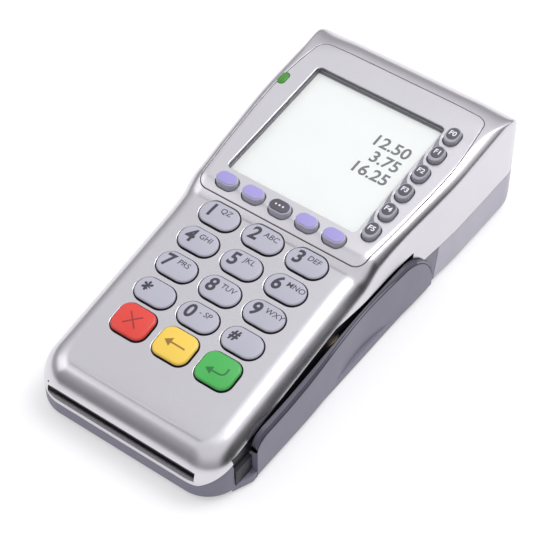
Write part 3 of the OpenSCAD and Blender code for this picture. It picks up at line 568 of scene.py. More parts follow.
def noise(tree, scale, detail=3.0, rough=0.55, stretch=None):
    """Noise over the object's own coordinates, scale in waves per metre."""
    source = new_node(tree, "TexCoord").outputs["Object"]
    if stretch:
        source = new_node(tree, "Mapping", {"Vector": source, "Scale": stretch}).outputs["Vector"]
    inputs = {"Vector": source, "Scale": scale, "Detail": detail, "Roughness": rough}
    return new_node(tree, "TexNoise", inputs).outputs["Fac"]


def ranged(tree, value, low, high, start=0.3, end=0.7, curve="LINEAR"):
    inputs = {"Value": value, "From Min": start, "From Max": end, "To Min": low, "To Max": high}
    return new_node(tree, "MapRange", inputs, interpolation_type=curve).outputs["Result"]


def blended(tree, factor, first, second):
    """Mix of two colours, each a tuple or a socket."""
    first, second = [(*c, 1) if isinstance(c, tuple) else c for c in (first, second)]
    inputs = {"Factor": factor, "A": first, "B": second}
    return new_node(tree, "Mix", inputs, data_type="RGBA").outputs["Result"]


def linear(color):
    return tuple(c / 12.92 if c <= 0.04045 else ((c + 0.055) / 1.055) ** 2.4 for c in color)


def scaled(color, k):
    return tuple(min(1.0, c * k) for c in color)


def new_material(name, inputs):
    item = bpy.data.materials.new(name)
    item.use_nodes = True
    shader = item.node_tree.nodes["Principled BSDF"]
    for socket, value in inputs.items():
        shader.inputs[socket].default_value = value
    return item, item.node_tree, shader


def material(name, color, rough=0.4, metallic=0.0, grain=900.0, bump=0.02, mottle=0.05, coat=0.0,
             flake=0.0, wear=0.05, alpha=1.0, emission=0.0, sheen=0.0, stretch=None):
    """Moulded or painted finish: two tones of mottle, a fine grain in the relief, and uneven gloss."""
    base = linear(color)
    inputs = {"Metallic": metallic, "Coat Weight": coat, "Coat Roughness": 0.18,
              "Sheen Weight": sheen, "Alpha": alpha}
    if emission:
        inputs.update({"Emission Color": (*base, 1), "Emission Strength": emission})
    item, tree, shader = new_material(name, inputs)
    broad = noise(tree, 45, 2.0, stretch=stretch)
    tint = blended(tree, ranged(tree, broad, 0, 1), scaled(base, 1 - mottle), scaled(base, 1 + mottle))
    if flake:
        fine = noise(tree, 2600, 1.0, 0.9)
        tint = blended(tree, ranged(tree, fine, 0, 1, 0.35, 0.65), scaled(base, 1 - flake), tint)
    tree.links.new(tint, shader.inputs["Base Color"])
    uneven = ranged(tree, noise(tree, 130, 4.0, stretch=stretch), rough * (1 - wear), rough * (1 + wear))
    tree.links.new(uneven, shader.inputs["Roughness"])
    if bump:
        height = noise(tree, grain, 2.0, 0.7, stretch)
        inputs = {"Strength": 1.0, "Distance": bump * MM, "Height": height}
        tree.links.new(new_node(tree, "Bump", inputs).outputs["Normal"], shader.inputs["Normal"])
    return item


def key_plastic(name, color, rough=0.36, mottle=0.04, coat=0.15):
    return material(name, color, rough, 0, 1400, 0.006, mottle, coat)


def ink(name, color, mottle=0.08):
    return material(name, color, 0.5, 0, 1500, 0.002, mottle)


SILVER = material("silver_paint", (0.87, 0.86, 0.875), 0.24, 0.95, 1500, 0.006, 0.02, 0.0, 0.06)
PANEL_SILVER = material("panel_silver_paint", (0.885, 0.875, 0.89), 0.3, 0.9, 1500, 0.005, 0.02, 0.0, 0.05)
BASE_GREY = material("base_grey_plastic", (0.55, 0.54, 0.605), 0.42, 0.1, 1100, 0.012, 0.04)
DOOR_GREY = material("door_grey_plastic", (0.80, 0.79, 0.83), 0.42, 0.15, 1100, 0.012, 0.04)
BLACK = material("black_plastic", (0.075, 0.07, 0.085), 0.42, 0, 1200, 0.01, 0.2)
DARK = material("dark_plastic", (0.17, 0.165, 0.185), 0.48, 0, 1000, 0.015, 0.12)
# Dark grey painted shade of the window recess: its walls and a frame under the lens stand for walls in
# shadow.
WINDOW_SHADE = material("window_painted_shade", (0.43, 0.425, 0.45), 0.5, 0, 1200, 0.01, 0.08)
INNER = material("inner_plastic", (0.62, 0.62, 0.645), 0.55, mottle=0.06)
KEY_LIGHT = key_plastic("key_plastic", (0.735, 0.73, 0.78), 0.4, 0.03, 0.1)
KEY_RED = key_plastic("key_red_plastic", (0.91, 0.27, 0.23))
KEY_YELLOW = key_plastic("key_yellow_plastic", (0.985, 0.83, 0.34), mottle=0.03)
KEY_GREEN = key_plastic("key_green_plastic", (0.29, 0.72, 0.34))
KEY_PURPLE = key_plastic("key_purple_plastic", (0.655, 0.62, 0.86), 0.38)
KEY_DARK = key_plastic("key_dark_plastic", (0.345, 0.33, 0.37), 0.4, 0.08, 0.1)
KEY_GREY = key_plastic("key_grey_plastic", (0.66, 0.655, 0.69), 0.42, 0.05, 0.0)
POINTER_GREY = material("pointer_grey", (0.55, 0.545, 0.58), 0.5, 0, 1200, 0.004, 0.05)
# Near-black painted shade: the shaded gaps round the keys, the deep card slot, and the crease and front notch
# of the guide.
SHADE_BLACK = material("key_skirt", (0.13, 0.12, 0.15), 0.5, 0, 1200, 0.01, 0.1)
GUIDE_BAND = material("guide_band", (0.32, 0.31, 0.365), 0.45, 0.1, 1100, 0.012, 0.05)
INK = ink("ink_dark", (0.27, 0.26, 0.31), 0.1)
INK_WHITE = ink("ink_white", (0.93, 0.93, 0.95), 0.02)
INK_RED = ink("ink_red", (0.62, 0.19, 0.17))
INK_BROWN = ink("ink_brown", (0.62, 0.46, 0.20))
INK_GREEN = ink("ink_green", (0.17, 0.47, 0.22))
# The display glows faintly: painted light that makes it read near-white.
LCD = material("display_face_glow", (0.945, 0.95, 0.935), 0.5, 0, 3000, 0.0, 0.008, emission=0.07)
LCD_INK = material("display_digits", (0.27, 0.27, 0.30), 0.5, 0, 1500, 0.0, 0.1)
LENS = material("lens_glass", (0.93, 0.95, 0.96), 0.06, 0, 900, 0.0, 0.01, alpha=0.10)
LIGHT_GREEN = material("light_green", (0.22, 0.52, 0.12), 0.22, 0, 900, 0.0, 0.08, 0.5, emission=0.15)
STEEL = material("steel", (0.76, 0.76, 0.78), 0.3, 1.0, 700, 0.006, 0.06, wear=0.25)
SPRING_STEEL = material("spring_steel", (0.70, 0.69, 0.68), 0.28, 1.0, 900, 0.004, 0.06, wear=0.3)
MOTOR_STEEL = material("motor_steel", (0.68, 0.68, 0.70), 0.34, 1.0, 600, 0.01, 0.05, wear=0.25,
                       stretch=(1, 30, 30))
GEAR = material("gear_plastic", (0.90, 0.885, 0.83), 0.42, 0, 900, 0.012, 0.04)
CERAMIC = material("ceramic_strip", (0.86, 0.86, 0.84), 0.3, 0, 900, 0.006, 0.04, 0.3)
BRASS = material("head_face", (0.62, 0.57, 0.50), 0.3, 0.9, 900, 0.004, 0.08)
PAPER = material("receipt_paper", (0.965, 0.965, 0.95), 0.75, 0, 2200, 0.015, 0.02, sheen=0.1,
                 stretch=(1, 0.2, 0.2))
RUBBER = material("black_rubber", (0.11, 0.11, 0.115), 0.72, 0, 1600, 0.03, 0.15, sheen=0.15)
MAT_RUBBER = material("grey_rubber", (0.60, 0.60, 0.625), 0.68, 0, 1600, 0.03, 0.06, sheen=0.1)
BATTERY = material("battery_plastic", (0.50, 0.495, 0.545), 0.5, grain=1000)


def board_material():
    """Solder mask with faint copper tracks under it."""
    item = material("circuit_board", (0.10, 0.36, 0.20), 0.35, 0, 900, 0.01, 0.08, 0.3)
    tree = item.node_tree
    base_color = tree.nodes["Principled BSDF"].inputs["Base Color"]
    inputs = {"Vector": new_node(tree, "TexCoord").outputs["Object"], "Scale": 180, "Mortar Size": 0.03,
              "Color1": (0, 0, 0, 1), "Color2": (0, 0, 0, 1), "Mortar": (1, 1, 1, 1)}
    tracks = new_node(tree, "TexBrick", inputs).outputs["Color"]
    mask = base_color.links[0].from_socket
    tree.links.new(blended(tree, tracks, mask, linear((0.22, 0.52, 0.30))), base_color)
    return item


BOARD = board_material()

# Finish of each solid that is shown as it is
NODE_FINISHES = (
    (LENS, "display_lens"), (LCD, "lcd_module"), (BLACK, "swipe_liner"), (BRASS, "mag_head"),
    (MAT_RUBBER, "keypad_mat"), (BATTERY, "battery_pack"), (CERAMIC, "thermal_head"),
    (MOTOR_STEEL, "stepper_motor"), (PAPER, "paper_roll"), (RUBBER, "platen_rubber", "rubber_feet"),
    (SPRING_STEEL, "mag_head_spring", "head_spring"), (INNER, "hinge_mounts", "hinge_arms"),
    (BOARD, "display_board", "keypad_board", "main_board"),
    (DARK, "card_reader", "printer_frame", "platen_carrier"),
    (GEAR, "motor_pinion", "idler_gear", "platen_gear"),
    (STEEL, "hinge_pin", "idler_axle", "platen_shaft", "case_screws"))
for item, *node_names in NODE_FINISHES:
    for node_name in node_names:
        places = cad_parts[node_name].data.materials
        places.clear()
        places.append(item)


# Cuts that the mouldings share

def panel_side(y):
    end, waist = (PANEL_Y0, PANEL_WAIST) if y < PANEL_WIDEST else (PANEL_Y1, PANEL_TAPER)
    return PANEL_HALF - waist * ((y - PANEL_WIDEST) / (end - PANEL_WIDEST)) ** 1.5


def panel_outline(g, front=None):
    """Barrel with rounded corners, anticlockwise from its front edge, grown by g, or by front there."""
    r = PANEL_CORNER + g
    y0, y1 = PANEL_Y0 - (g if front is None else front) + r, PANEL_Y1 + g - r
    turn = quarter(10)
    x0, x1 = panel_side(y0) + g - r, panel_side(y1) + g - r
    half = [(k * x0, y0 - r) for k in np.linspace(0.02, 0.98, 24)]
    half += [(x0 + r * math.sin(a), y0 - r * math.cos(a)) for a in turn]
    half += [(panel_side(y) + g, y) for y in np.linspace(y0, y1, 54)[1:-1]]
    half += [(x1 + r * math.cos(a), y1 + r * math.sin(a)) for a in turn]
    half += [(k * x1, y1 + r) for k in np.linspace(0.98, 0.02, 24)]
    return half + [(-x, y) for x, y in reversed(half)]


def panel_prism(g, front=None):
    return prism(panel_outline(g, front), PANEL_FOOT, 70)


# Plan view, so high that its rays start over the whole case
PLAN = Matrix.Translation((0, 0, 30))
LIGHT_FRAME = display_frame(LIGHT_X, LIGHT_ALONG)


def light_cut(g):
    return prism(rounded(LIGHT_WIDTH + 2 * g, LIGHT_LENGTH + 2 * g), -6, 4, LIGHT_FRAME)


KEY_NAMES = [f"key_{k}" for k in range(1, 10)] + ["key_star", "key_0", "key_hash"]
KEY_NAMES += ["key_cancel", "key_clear", "key_enter"]

# Name, row and frame of each key
KEYS = [(name, k // 3, keypad_frame(k % 3, k // 3)) for k, name in enumerate(KEY_NAMES)]


def hole(length, width, corner=math.inf, arc=10):
    """Outline of the hole for a key."""
    return rounded(length + 2 * KEY_GAP, width + 2 * KEY_GAP, corner + KEY_GAP, arc)


def key_hole(row):
    return hole(KEY_LENGTH, KEY_WIDTH) if row < 4 else hole(COMMAND_LENGTH, COMMAND_WIDTH, COMMAND_CORNER, 8)


WINDOW_FRAME = display_frame(WINDOW_X, WINDOW_LENGTH / 2)
SOFT_FRAMES = [display_frame(SOFT_X + k * SOFT_PITCH, SOFT_ROW) for k in (-2, -1, 0, 1, 2)]
FUNCTION_FRAMES = [display_frame(FUNCTION_X, FUNCTION_START + k * FUNCTION_PITCH) for k in (5, 4, 3, 2, 1, 0)]

# Outline of each hole in the panel, its places, and the material place of its wall; place 1 is the painted
# shade of the window's walls
PANEL_HOLES = ((rounded(WINDOW_WIDTH, WINDOW_LENGTH, 2.0, 6), [WINDOW_FRAME], 1),
               (hole(SOFT_LENGTH, SOFT_WIDTH), SOFT_FRAMES, 0),
               (hole(FUNCTION_WIDTH, FUNCTION_LENGTH), FUNCTION_FRAMES, 0))


def slot_edge(y):
    """Height at which the face of the slot meets the shoulder of the case."""
    s = shoulder(y)
    c = (SLOT_FACE - half_width(y) + s) / s
    return max(SLOT_FLOOR + 1, min(SLOT_TOP, crown(y) - s + s * math.sqrt(max(0, 1 - c * c))))


def slot_side():
    """Block between the back of the swipe slot and the case, up to the shoulder."""
    steps = [SLOT_Y1 + (SLOT_START - SLOT_Y1) * i / 60 for i in range(61)]
    outline = [(SLOT_START, SLOT_FLOOR), (SLOT_Y1, SLOT_FLOOR)] + [(y, slot_edge(y)) for y in steps]
    return prism(outline, SLOT_BACK, SLOT_FACE + 1, SIDE_VIEW)


def corner_rise(g):
    """Sloping rise at the front corner, where the case climbs to the swipe slot."""
    turn = (Matrix.Translation((RISE_X, NOSE_Y + 2, 0)) @ Matrix.Rotation(math.radians(45), 4, "Z")
            @ Matrix.Rotation(math.radians(90), 4, "X"))
    outline = [(-1, -1), (24, -1), (24, FRONT_JOINT + 24 * RISE_SLOPE - g),
               (-1, FRONT_JOINT - RISE_SLOPE - g)]
    return prism(outline, -20, 20, turn)


def battery_block(g, z0, z1):
    return box(-BATTERY_HALF - g, BATTERY_HALF + g, BATTERY_Y0 - g, BATTERY_Y1 + g, z0, z1)


def top_case():
    ledge = cut(panel_prism(1.0, 0.7), prism(panel_outline(-2.2, -0.9), PANEL_FOOT - 1, 71),
                body_mesh(WALL + 1.4))
    room = cut(body_mesh(WALL), box(SLOT_BACK - WALL, FAR, NOSE_Y + 9, SLOT_Y1 + WALL, -5, SLOT_LIP),
               posts(FRONT_BOSSES, BOSS_RADIUS, -1, FAR), posts(REAR_BOSSES, BOSS_RADIUS, -1, 30),
               posts(PRINTER_POSTS, BOSS_RADIUS, FRAME_TOP, FAR), ledge)
    rise = cut(corner_rise(0), body_mesh(WALL + 0.5), layer(LINER_Y0, END, -10, FAR))
    recess = cut(panel_prism(SEAM + PANEL_EDGE), body_mesh(WALL + 0.05))
    mouth = [(NOSE_Y - 1, CARD_Z0 - 0.2), (NOSE_Y + 2.2, CARD_Z0), (NOSE_Y + 7, CARD_Z0),
             (NOSE_Y + 7, CARD_Z0 + CARD_GAP), (NOSE_Y + 2.4, CARD_Z0 + CARD_GAP),
             (NOSE_Y + 1.1, CARD_Z0 + MOUTH), (NOSE_Y - 1, CARD_Z0 + MOUTH + 0.5)]
    holes = join([prism(grown(key_hole(row), EDGE), -8, 6, m) for _, row, m in KEYS])
    shape = Shape().take(cut(
        CASE, room, layer(-END, SLOT_Y1, -10, FRONT_JOINT), layer(SLOT_Y1, END, -10, REAR_JOINT),
        box(SLOT_BACK, FAR, SLOT_START, SLOT_Y1, -1, SLOT_FLOOR), slot_side(),
        box(SLOT_FACE, FAR, SLOT_START, SLOT_Y1, -1, SLOT_TOP),
        rise, recess, prism(mouth, CARD_X0, CARD_X1, SIDE_VIEW), holes, light_cut(0.25),
        posts(FRONT_BOSSES, SCREW_RADIUS, 0, 15), posts(REAR_BOSSES, SCREW_RADIUS, 0, 27),
        box(SLOT_BACK - WALL - 1, SLOT_FACE, MAG_Y - MAG_HALF_LENGTH, MAG_Y + MAG_HALF_LENGTH,
            MAG_Z - MAG_HALF_HEIGHT, MAG_Z + MAG_HALF_HEIGHT)))
    for _, row, m in KEYS:
        lip(shape, key_hole(row), m, EDGE)
    lip(shape, panel_outline(SEAM), PLAN, PANEL_EDGE)
    return shape


def mouth_shade_plates():
    """Black plates behind the card slot, above and below the gap for the card: painted shade of the deep
    slot.
    """
    x0, x1 = CARD_X0 - 0.3, CARD_X1 + 0.3
    shape = Shape()
    shape.add(*box(x0, x1, NOSE_Y + 2.15, NOSE_Y + 2.9, CARD_Z0 + CARD_GAP, CARD_Z0 + MOUTH + 0.1))
    shape.add(*box(x0, x1, NOSE_Y + 2.15, NOSE_Y + 8, CARD_Z0 - 1.0, CARD_Z0 - 0.02))
    return shape


def display_panel():
    plate = meet(cut(CASE, body_mesh(WALL)), panel_prism(-PANEL_EDGE))
    for outline, frames, _ in PANEL_HOLES:
        cut(plate, join([prism(grown(outline, EDGE), -6, 6, m) for m in frames]))
    shape = Shape().take(cut(plate, light_cut(0.15)))
    lip(shape, panel_outline(0), PLAN, PANEL_EDGE, -1)
    for outline, frames, wall_shade_slot in PANEL_HOLES:
        for m in frames:
            lip(shape, outline, m, EDGE, 1, wall_shade_slot)
    return shape


def window_shade_frame():
    """Dark frame between the lens and the display, painted shade that carries on the shaded band of the
    recess walls, widest at the rear and left.
    """
    left, right, front, rear = 0.35, 0.2, 0.2, 1.0
    under, top, bottom = 0.3, -WALL - 0.96, -WALL - 0.99
    x, y = WINDOW_WIDTH / 2 + under, WINDOW_LENGTH / 2 + under
    outer = corners(-x, x, -y, y)
    inner = corners(-x + under + left, x - under - right, -y + under + front, y - under - rear)
    shape = Shape()
    points = [(px, py, z) for z in (bottom, top) for px, py in outer + inner]
    faces = []
    for i in range(4):
        j = (i + 1) % 4
        faces += [(i, i + 4, j + 4, j), (8 + i, 8 + j, 12 + j, 12 + i), (i, j, 8 + j, 8 + i),
                  (4 + i, 12 + i, 12 + j, 4 + j)]
    shape.add(place(points, WINDOW_FRAME), faces)
    return shape


def door_side(g):
    """Block that holds the door and its hinge, grown by g."""
    side = mitred([(DOOR_FRONT, REAR_JOINT - SEAM), (HINGE_Y - 4.6, HINGE_Z + 2), (HINGE_Y, HINGE_Z),
                   (HINGE_Y, -10), (END, -10), (END, REAR_JOINT - SEAM)], g)
    hinge = prism(circle(HINGE_Y, HINGE_Z, HINGE_RADIUS + g, 48), -FAR - 0.5, FAR + 0.5, SIDE_VIEW)
    return combine(prism(side, -FAR, FAR, SIDE_VIEW), hinge, "UNION")


def clamped(t):
    return min(1, max(-1, t))


def guide_outer(y):
    """Outer side of the guide, with a slight wave."""
    return HEAD_HALF - 0.7 - 0.7 * math.cos(math.pi * clamped((y - SLOT_Y1 + 34) / 42))


def guide_low(y):
    """Outer side at the foot of the guide, with its waist."""
    reach = 34 if y < WAIST_Y else 28
    return HEAD_HALF - 2.6 * math.cos(math.pi / 2 * clamped((y - WAIST_Y) / reach)) ** 2


def guide_inner(y):
    return SLOT_FACE + SLOT_WIDTH if y < SLOT_Y1 - 0.2 else float(half_width(y)) + SEAM


def guide_crest(y):
    """Height of the guide, rounded at its front and falling behind the slot."""
    h = GUIDE_HEIGHT - 5.2 * float(ramp((SLOT_Y1 - 22 - y) / 70))
    front, back = 0.0, 1.0
    if y < GUIDE_FRONT + 7:
        front = 5 * (1 - math.sqrt(max(0, 1 - ((GUIDE_FRONT + 7 - y) / 7.01) ** 2)))
    if y > SLOT_Y1 - 8:
        back = math.sqrt(max(0, 1 - ((y - SLOT_Y1 + 8) / 20.5) ** 2))
    return 3 + (h - front - 3) * back


def filleted(points, radii):
    """Closed outline with each corner rounded by its own radius."""
    p = [np.array(q, float) for q in points]
    out = []
    for i, b in enumerate(p):
        u, v = p[i - 1] - b, p[(i + 1) % len(p)] - b
        lu, lv = np.linalg.norm(u), np.linalg.norm(v)
        u, v = u / max(lu, 1e-9), v / max(lv, 1e-9)
        half = math.acos(clamped(float(u @ v))) / 2
        reach = min(radii[i] / math.tan(half), 0.45 * lu, 0.45 * lv) if radii[i] and half > 1e-3 else 0.0
        for t in (0, 0.2, 0.4, 0.6, 0.8, 1):
            out.append((1 - t) ** 2 * (b + u * reach) + 2 * t * (1 - t) * b + t * t * (b + v * reach))
    return out


GUIDE_STEPS = [float(y) for y in np.concatenate([
    GUIDE_FRONT + 7 * (1 - np.cos(quarter(12))), np.linspace(GUIDE_FRONT + 9, SLOT_Y1 - 8, 44),
    np.linspace(SLOT_Y1 - 7, SLOT_Y1 - 0.25, 8), SLOT_Y1 + 11.7 * np.sin(quarter(14))])]


def guide_profile(y):
    """Outer and inner side of the guide, its crest, and the foot of the bevel."""
    crest = guide_crest(y)
    return guide_outer(y), guide_inner(y), crest, max(BASE_LIFT + 2.1, crest - GUIDE_BEVEL)


def guide_outline(y, points, radii):
    return [(min(x, HEAD_HALF), y, z) for x, z in filleted(points, radii)]


def guide_section(y):
    o, i, t, foot = guide_profile(y)
    f, e = min(SLOT_FLOOR, t - 1), min(SLOT_FACE + SEAM, i - 0.1)
    low = min(o, guide_low(y))
    points = [(low - 2.2, BASE_LIFT), (low, BASE_LIFT + 1.6), (o, foot), ((o + i) / 2 + 0.45, t - 0.25),
              (i + 0.35, t), (i, t - 0.7), (i, f), (e, f), (e, BASE_LIFT)]
    return guide_outline(y, points, [0, 0.9, 0.5, 0.6, 0.25, 0.2, 0, 0, 0])


def lofted(rings):
    """Closed body through outlines of as many points each."""
    n = len(rings[0])
    last = (len(rings) - 1) * n
    faces = [(a, d, c, b) for a, b, c, d in ring_faces(n, len(rings))]
    faces += [tuple(range(n)), tuple(range(last + n - 1, last - 1, -1))]
    return [p for r in rings for p in r], faces


def guide_crest_and_shade():
    """Darker crest of the guide; the line under it and a block at its front are black painted shade."""
    crest, shade_line = [], []
    for y in GUIDE_STEPS:
        o, i, t, foot = guide_profile(y)
        points = [(o - 0.1, foot + 0.2), ((o + i) / 2 + 0.47, t - 0.22), (i + 0.34, t + 0.03),
                  (i - 0.03, t - 0.7), (i - 0.03, foot - 1.5), (o - 0.5, foot - 1.5)]
        crest.append(guide_outline(y, points, [0, 0.6, 0.25, 0.2, 0, 0]))
        o = min(o, HEAD_HALF - 0.04)
        shade_line.append([(o - 0.5, y, foot - 0.6), (o + 0.04, y, foot - 0.6), (o + 0.04, y, foot + 0.05),
                     (o - 0.08, y, foot + 0.24), (o - 0.5, y, foot + 0.24)])
    shape = Shape()
    shape.add(*lofted(crest), angle=24)
    shape.add(*lofted(shade_line), slot=1, angle=24)
    # Black block at the front end of the guide: painted shade of the notch there.
    shape.add(*box(SLOT_FACE - 0.3, KEYPAD_HALF + 0.35, LINER_Y0 - 0.3, GUIDE_FRONT + 0.1,
                   TOE_TOP + 0.02, 12.5), slot=1)
    return shape


def base_shell():
    bay = cut(battery_block(WALL, -1, 14), battery_block(BATTERY_GAP, -2, 15))
    room = cut(body_mesh(WALL), posts(FRONT_BOSSES, BOSS_RADIUS, -1, FRONT_JOINT - SEAM),
               posts(REAR_BOSSES, BOSS_RADIUS, -1, FAR), bay)
    keep = cut(corner_rise(SEAM), body_mesh(WALL + 0.5), layer(LINER_Y0 - 0.6, END, -10, FAR))
    above = cut(layer(-END, SLOT_Y1 + SEAM, FRONT_JOINT - SEAM, FAR), keep)
    screws = FRONT_BOSSES + REAR_BOSSES
    shape = Shape().take(cut(
        CASE, room, above, layer(SLOT_Y1, END, REAR_JOINT - SEAM, FAR), door_side(SEAM),
        battery_block(BATTERY_GAP, -5, 18), posts(screws, SCREW_RADIUS, -5, FAR),
        posts(screws, SCREW_HEAD, -5, 2.2),
        box(SLOT_BACK - WALL - 0.4, SLOT_FACE + SEAM, LINER_Y0 - 0.6, SLOT_Y1 + SEAM,
            FRONT_JOINT - SEAM, FAR),
        box(SLOT_FACE + 0.6, FAR, GUIDE_FRONT + 0.5, SLOT_Y1, -5, FAR)))
    shape.add(*lofted([guide_section(y) for y in GUIDE_STEPS]), angle=24)
    shape.add(*box(SLOT_FACE + SEAM, SLOT_FACE + 3, GUIDE_Y0, SLOT_Y1, BASE_LIFT + 0.4, TOE_TOP + SEAM))
    outer = guide_outer(GUIDE_Y0) - 0.3
    toe = [(SLOT_FACE - 1, LINER_Y0 + 1), (SLOT_FACE + 0.5, LINER_Y0 - 1.4),
           (outer, GUIDE_Y0 - 1), (outer, GUIDE_Y0 + 2), (SLOT_FACE - 1, GUIDE_Y0 + 2)]
    shape.add(*prism(toe, BASE_LIFT + 0.5, TOE_TOP))
    for x in (-24, -8, 6, 22):
        shape.add(*box(x, x + 2, NOSE_Y + 9, BATTERY_Y0 - 20, BASE_LIFT + 1.9, 5.9))
    return shape


def paper_door():
    """Door with its ribs and feet inside, the notches for the hinge arms, and the gap for the paper."""
    cheek, hinge, rib = CHEEK_INNER + 0.6, 34.8, 12
    room = cut(body_mesh(WALL),
               boxes((-cheek, cheek), 1.3, PLATEN_Y - 6.5, PLATEN_Y + 2.1, 0, PLATEN_Z - 4.5),
               boxes((-18, 18), 1, HINGE_Y + 4.6, HINGE_Y + 10.6, 0, 3.4),
               boxes((-rib, 0, rib), 0.8, PLATEN_Y - 0.5, TAIL_Y - 3, 0, 9))
    door = cut(meet(CASE, door_side(0)), room,
               boxes((-hinge, hinge), 2.4, HINGE_Y - 11.4, HINGE_Y + 3.6, -5, 9),
               box(-CHEEK_INNER, CHEEK_INNER, PLATEN_Y + 3.5, END, REAR_JOINT - 1.3, 30))
    return Shape().take(door)


add_piece(top_case(), "top_case_shell", [SILVER], "case", "top_case")
add_piece(display_panel(), "display_panel_shell", [PANEL_SILVER, WINDOW_SHADE], "case", "display_panel")
add_piece(mouth_shade_plates(), "card_mouth_shade_plates", [SHADE_BLACK], "case")
add_piece(window_shade_frame(), "window_shade_frame", [WINDOW_SHADE], "case")
add_piece(guide_crest_and_shade(), "guide_crest_and_shade", [GUIDE_BAND, SHADE_BLACK], "case")
add_piece(base_shell(), "base_shell_body", [BASE_GREY], "case", "base_shell")
add_piece(paper_door(), "paper_door_shell", [DOOR_GREY], "door", "paper_door")


# Keys

# Rows of a dome between its rim and its middle
DOME_ROWS = (0.85, 0.65, 0.4, 0.15, 0.01)


def dome_top(rise, dome):
    return lambda x, y: rise - dome + math.sqrt(max(0.0, dome * dome - x * x - y * y))


def cap(matrix, length, width, corner, rise, dome, edge, floor):
    """Cap of a key: wall, rounded edge and domed top."""
    top = dome_top(rise, dome)
    outline = np.array(rounded(length, width, corner, 12))
    away = outward(outline)
    away3 = np.column_stack([away, np.zeros(len(away))])

    def heights(p):
        return np.array([top(*q) for q in p])

    def crown_normal(p):
        return unit(np.column_stack([p / dome, np.ones(len(p))]))

    rows = [(outline, np.full(len(outline), float(floor)), away3)]
    for a in quarter(8):
        p = outline - away * edge * (1 - math.cos(a))
        normals = unit(away3 * math.cos(a) + crown_normal(p) * math.sin(a))
        rows.append((p, heights(p) - edge * (1 - math.sin(a)), normals))
    rows += [(p * k, heights(p * k), crown_normal(p * k)) for k in DOME_ROWS]
    turn = np.array(matrix.to_3x3())
    shape = Shape()
    shape.band([(place(np.column_stack([p, z]), matrix), n @ turn.T) for p, z, n in rows])
    return shape


def key_shape(matrix, length, width, corner, rise, dome, edge, drop_by=0.0):
    """Cap with its flange under the case and its stem on the mat."""
    under = -WALL - drop_by
    shape = cap(matrix, length, width, corner, rise, dome, edge, under - 0.5)
    flange = rounded(length + 2 * FLANGE, width + 2 * FLANGE, corner + FLANGE, 8)
    shape.add(*prism(flange, under - 1.3, under - KEY_GAP, matrix))
    lift = 0.4 * drop_by
    shape.add(*prism(circle(0, 0, STEM_RADIUS, 24), under - 2.2 + lift, under - 1.2 + lift, matrix))
    return shape


KEY_FINISHES = {"key_cancel": (KEY_RED, "key_red"), "key_clear": (KEY_YELLOW, "key_yellow"),
                "key_enter": (KEY_GREEN, "key_green")}
for name, row, m in KEYS:
    length, width, corner, rise, edge = (
        (KEY_LENGTH, KEY_WIDTH, KEY_WIDTH / 2, KEY_RISE, CAP_EDGE) if row < 4 else
        (COMMAND_LENGTH, COMMAND_WIDTH, COMMAND_CORNER, COMMAND_RISE, COMMAND_EDGE))
    finish, slot = KEY_FINISHES.get(name, (KEY_LIGHT, "key_light"))
    shape = key_shape(m, length, width, corner, rise, KEY_DOME, edge)
    add_piece(shape, name + "_cap", [finish], name, name)
    # Near-black skirt just outside the cap's wall: painted shade of the gap round the key.
    shade_skirt = cap(m, length + 2 * SHADE_SKIRT_OVER, width + 2 * SHADE_SKIRT_OVER, corner + SHADE_SKIRT_OVER,
                rise - 0.75 * edge, KEY_DOME, 0.05, -WALL)
    add_piece(shade_skirt, name + "_skirt", [SHADE_BLACK], name)

SOFT_NAMES = ["soft_key_1", "soft_key_2", "soft_key_middle", "soft_key_3", "soft_key_4"]
for name, m in zip(SOFT_NAMES, SOFT_FRAMES):
    shape = key_shape(m, SOFT_LENGTH, SOFT_WIDTH, SOFT_WIDTH / 2, BODY_RISE, MENU_DOME, 0.5, SOFT_DROP)
    add_piece(shape, name + "_body", [KEY_LIGHT], name, name)
    finish, slot = (KEY_DARK, "key_dark") if name == "soft_key_middle" else (KEY_PURPLE, "key_purple")
    tip = cap(m, SOFT_LENGTH - 0.9, SOFT_WIDTH - 0.9, SOFT_WIDTH / 2, MENU_RISE, MENU_DOME,
              TIP_EDGE, TIP_FLOOR)
    add_piece(tip, name + "_top", [finish], name)

for k, m in enumerate(FUNCTION_FRAMES):
    name = f"function_key_{k}"
    half = FUNCTION_WIDTH / 2
    shape = key_shape(m, FUNCTION_WIDTH, FUNCTION_LENGTH, half, BODY_RISE, MENU_DOME, 0.45)
    add_piece(shape, name + "_body", [KEY_GREY], name, name)
    tip = cap(m @ Matrix.Translation((0, 0.4, 0)), FUNCTION_WIDTH - 1.1, FUNCTION_LENGTH - 2.0, half,
              MENU_RISE - 0.05, MENU_DOME, TIP_EDGE, TIP_FLOOR)
    add_piece(tip, name + "_top", [KEY_DARK], name)

lens = cap(LIGHT_FRAME, LIGHT_WIDTH, LIGHT_LENGTH, LIGHT_WIDTH / 2, 0.6, 9.0, 0.35, -5.6)
add_piece(lens, "status_light_lens", [LIGHT_GREEN], "case", "status_light")


# Legends

def fine_faces(mesh):
    """Points and small triangles of a flat mesh, so that it can follow a curved surface."""
    fine = bmesh.new()
    fine.from_mesh(mesh)
    bmesh.ops.triangulate(fine, faces=fine.faces)
    for _ in range(4):
        long_edges = [e for e in fine.edges if e.calc_length() > INK_SIDE]
        if long_edges:
            bmesh.ops.subdivide_edges(fine, edges=long_edges, cuts=1)
            bmesh.ops.triangulate(fine, faces=fine.faces)
    fine.verts.index_update()
    points = np.array([v.co[:2] for v in fine.verts])
    faces = [tuple(v.index for v in f.verts) for f in fine.faces]
    fine.free()
    return points, faces


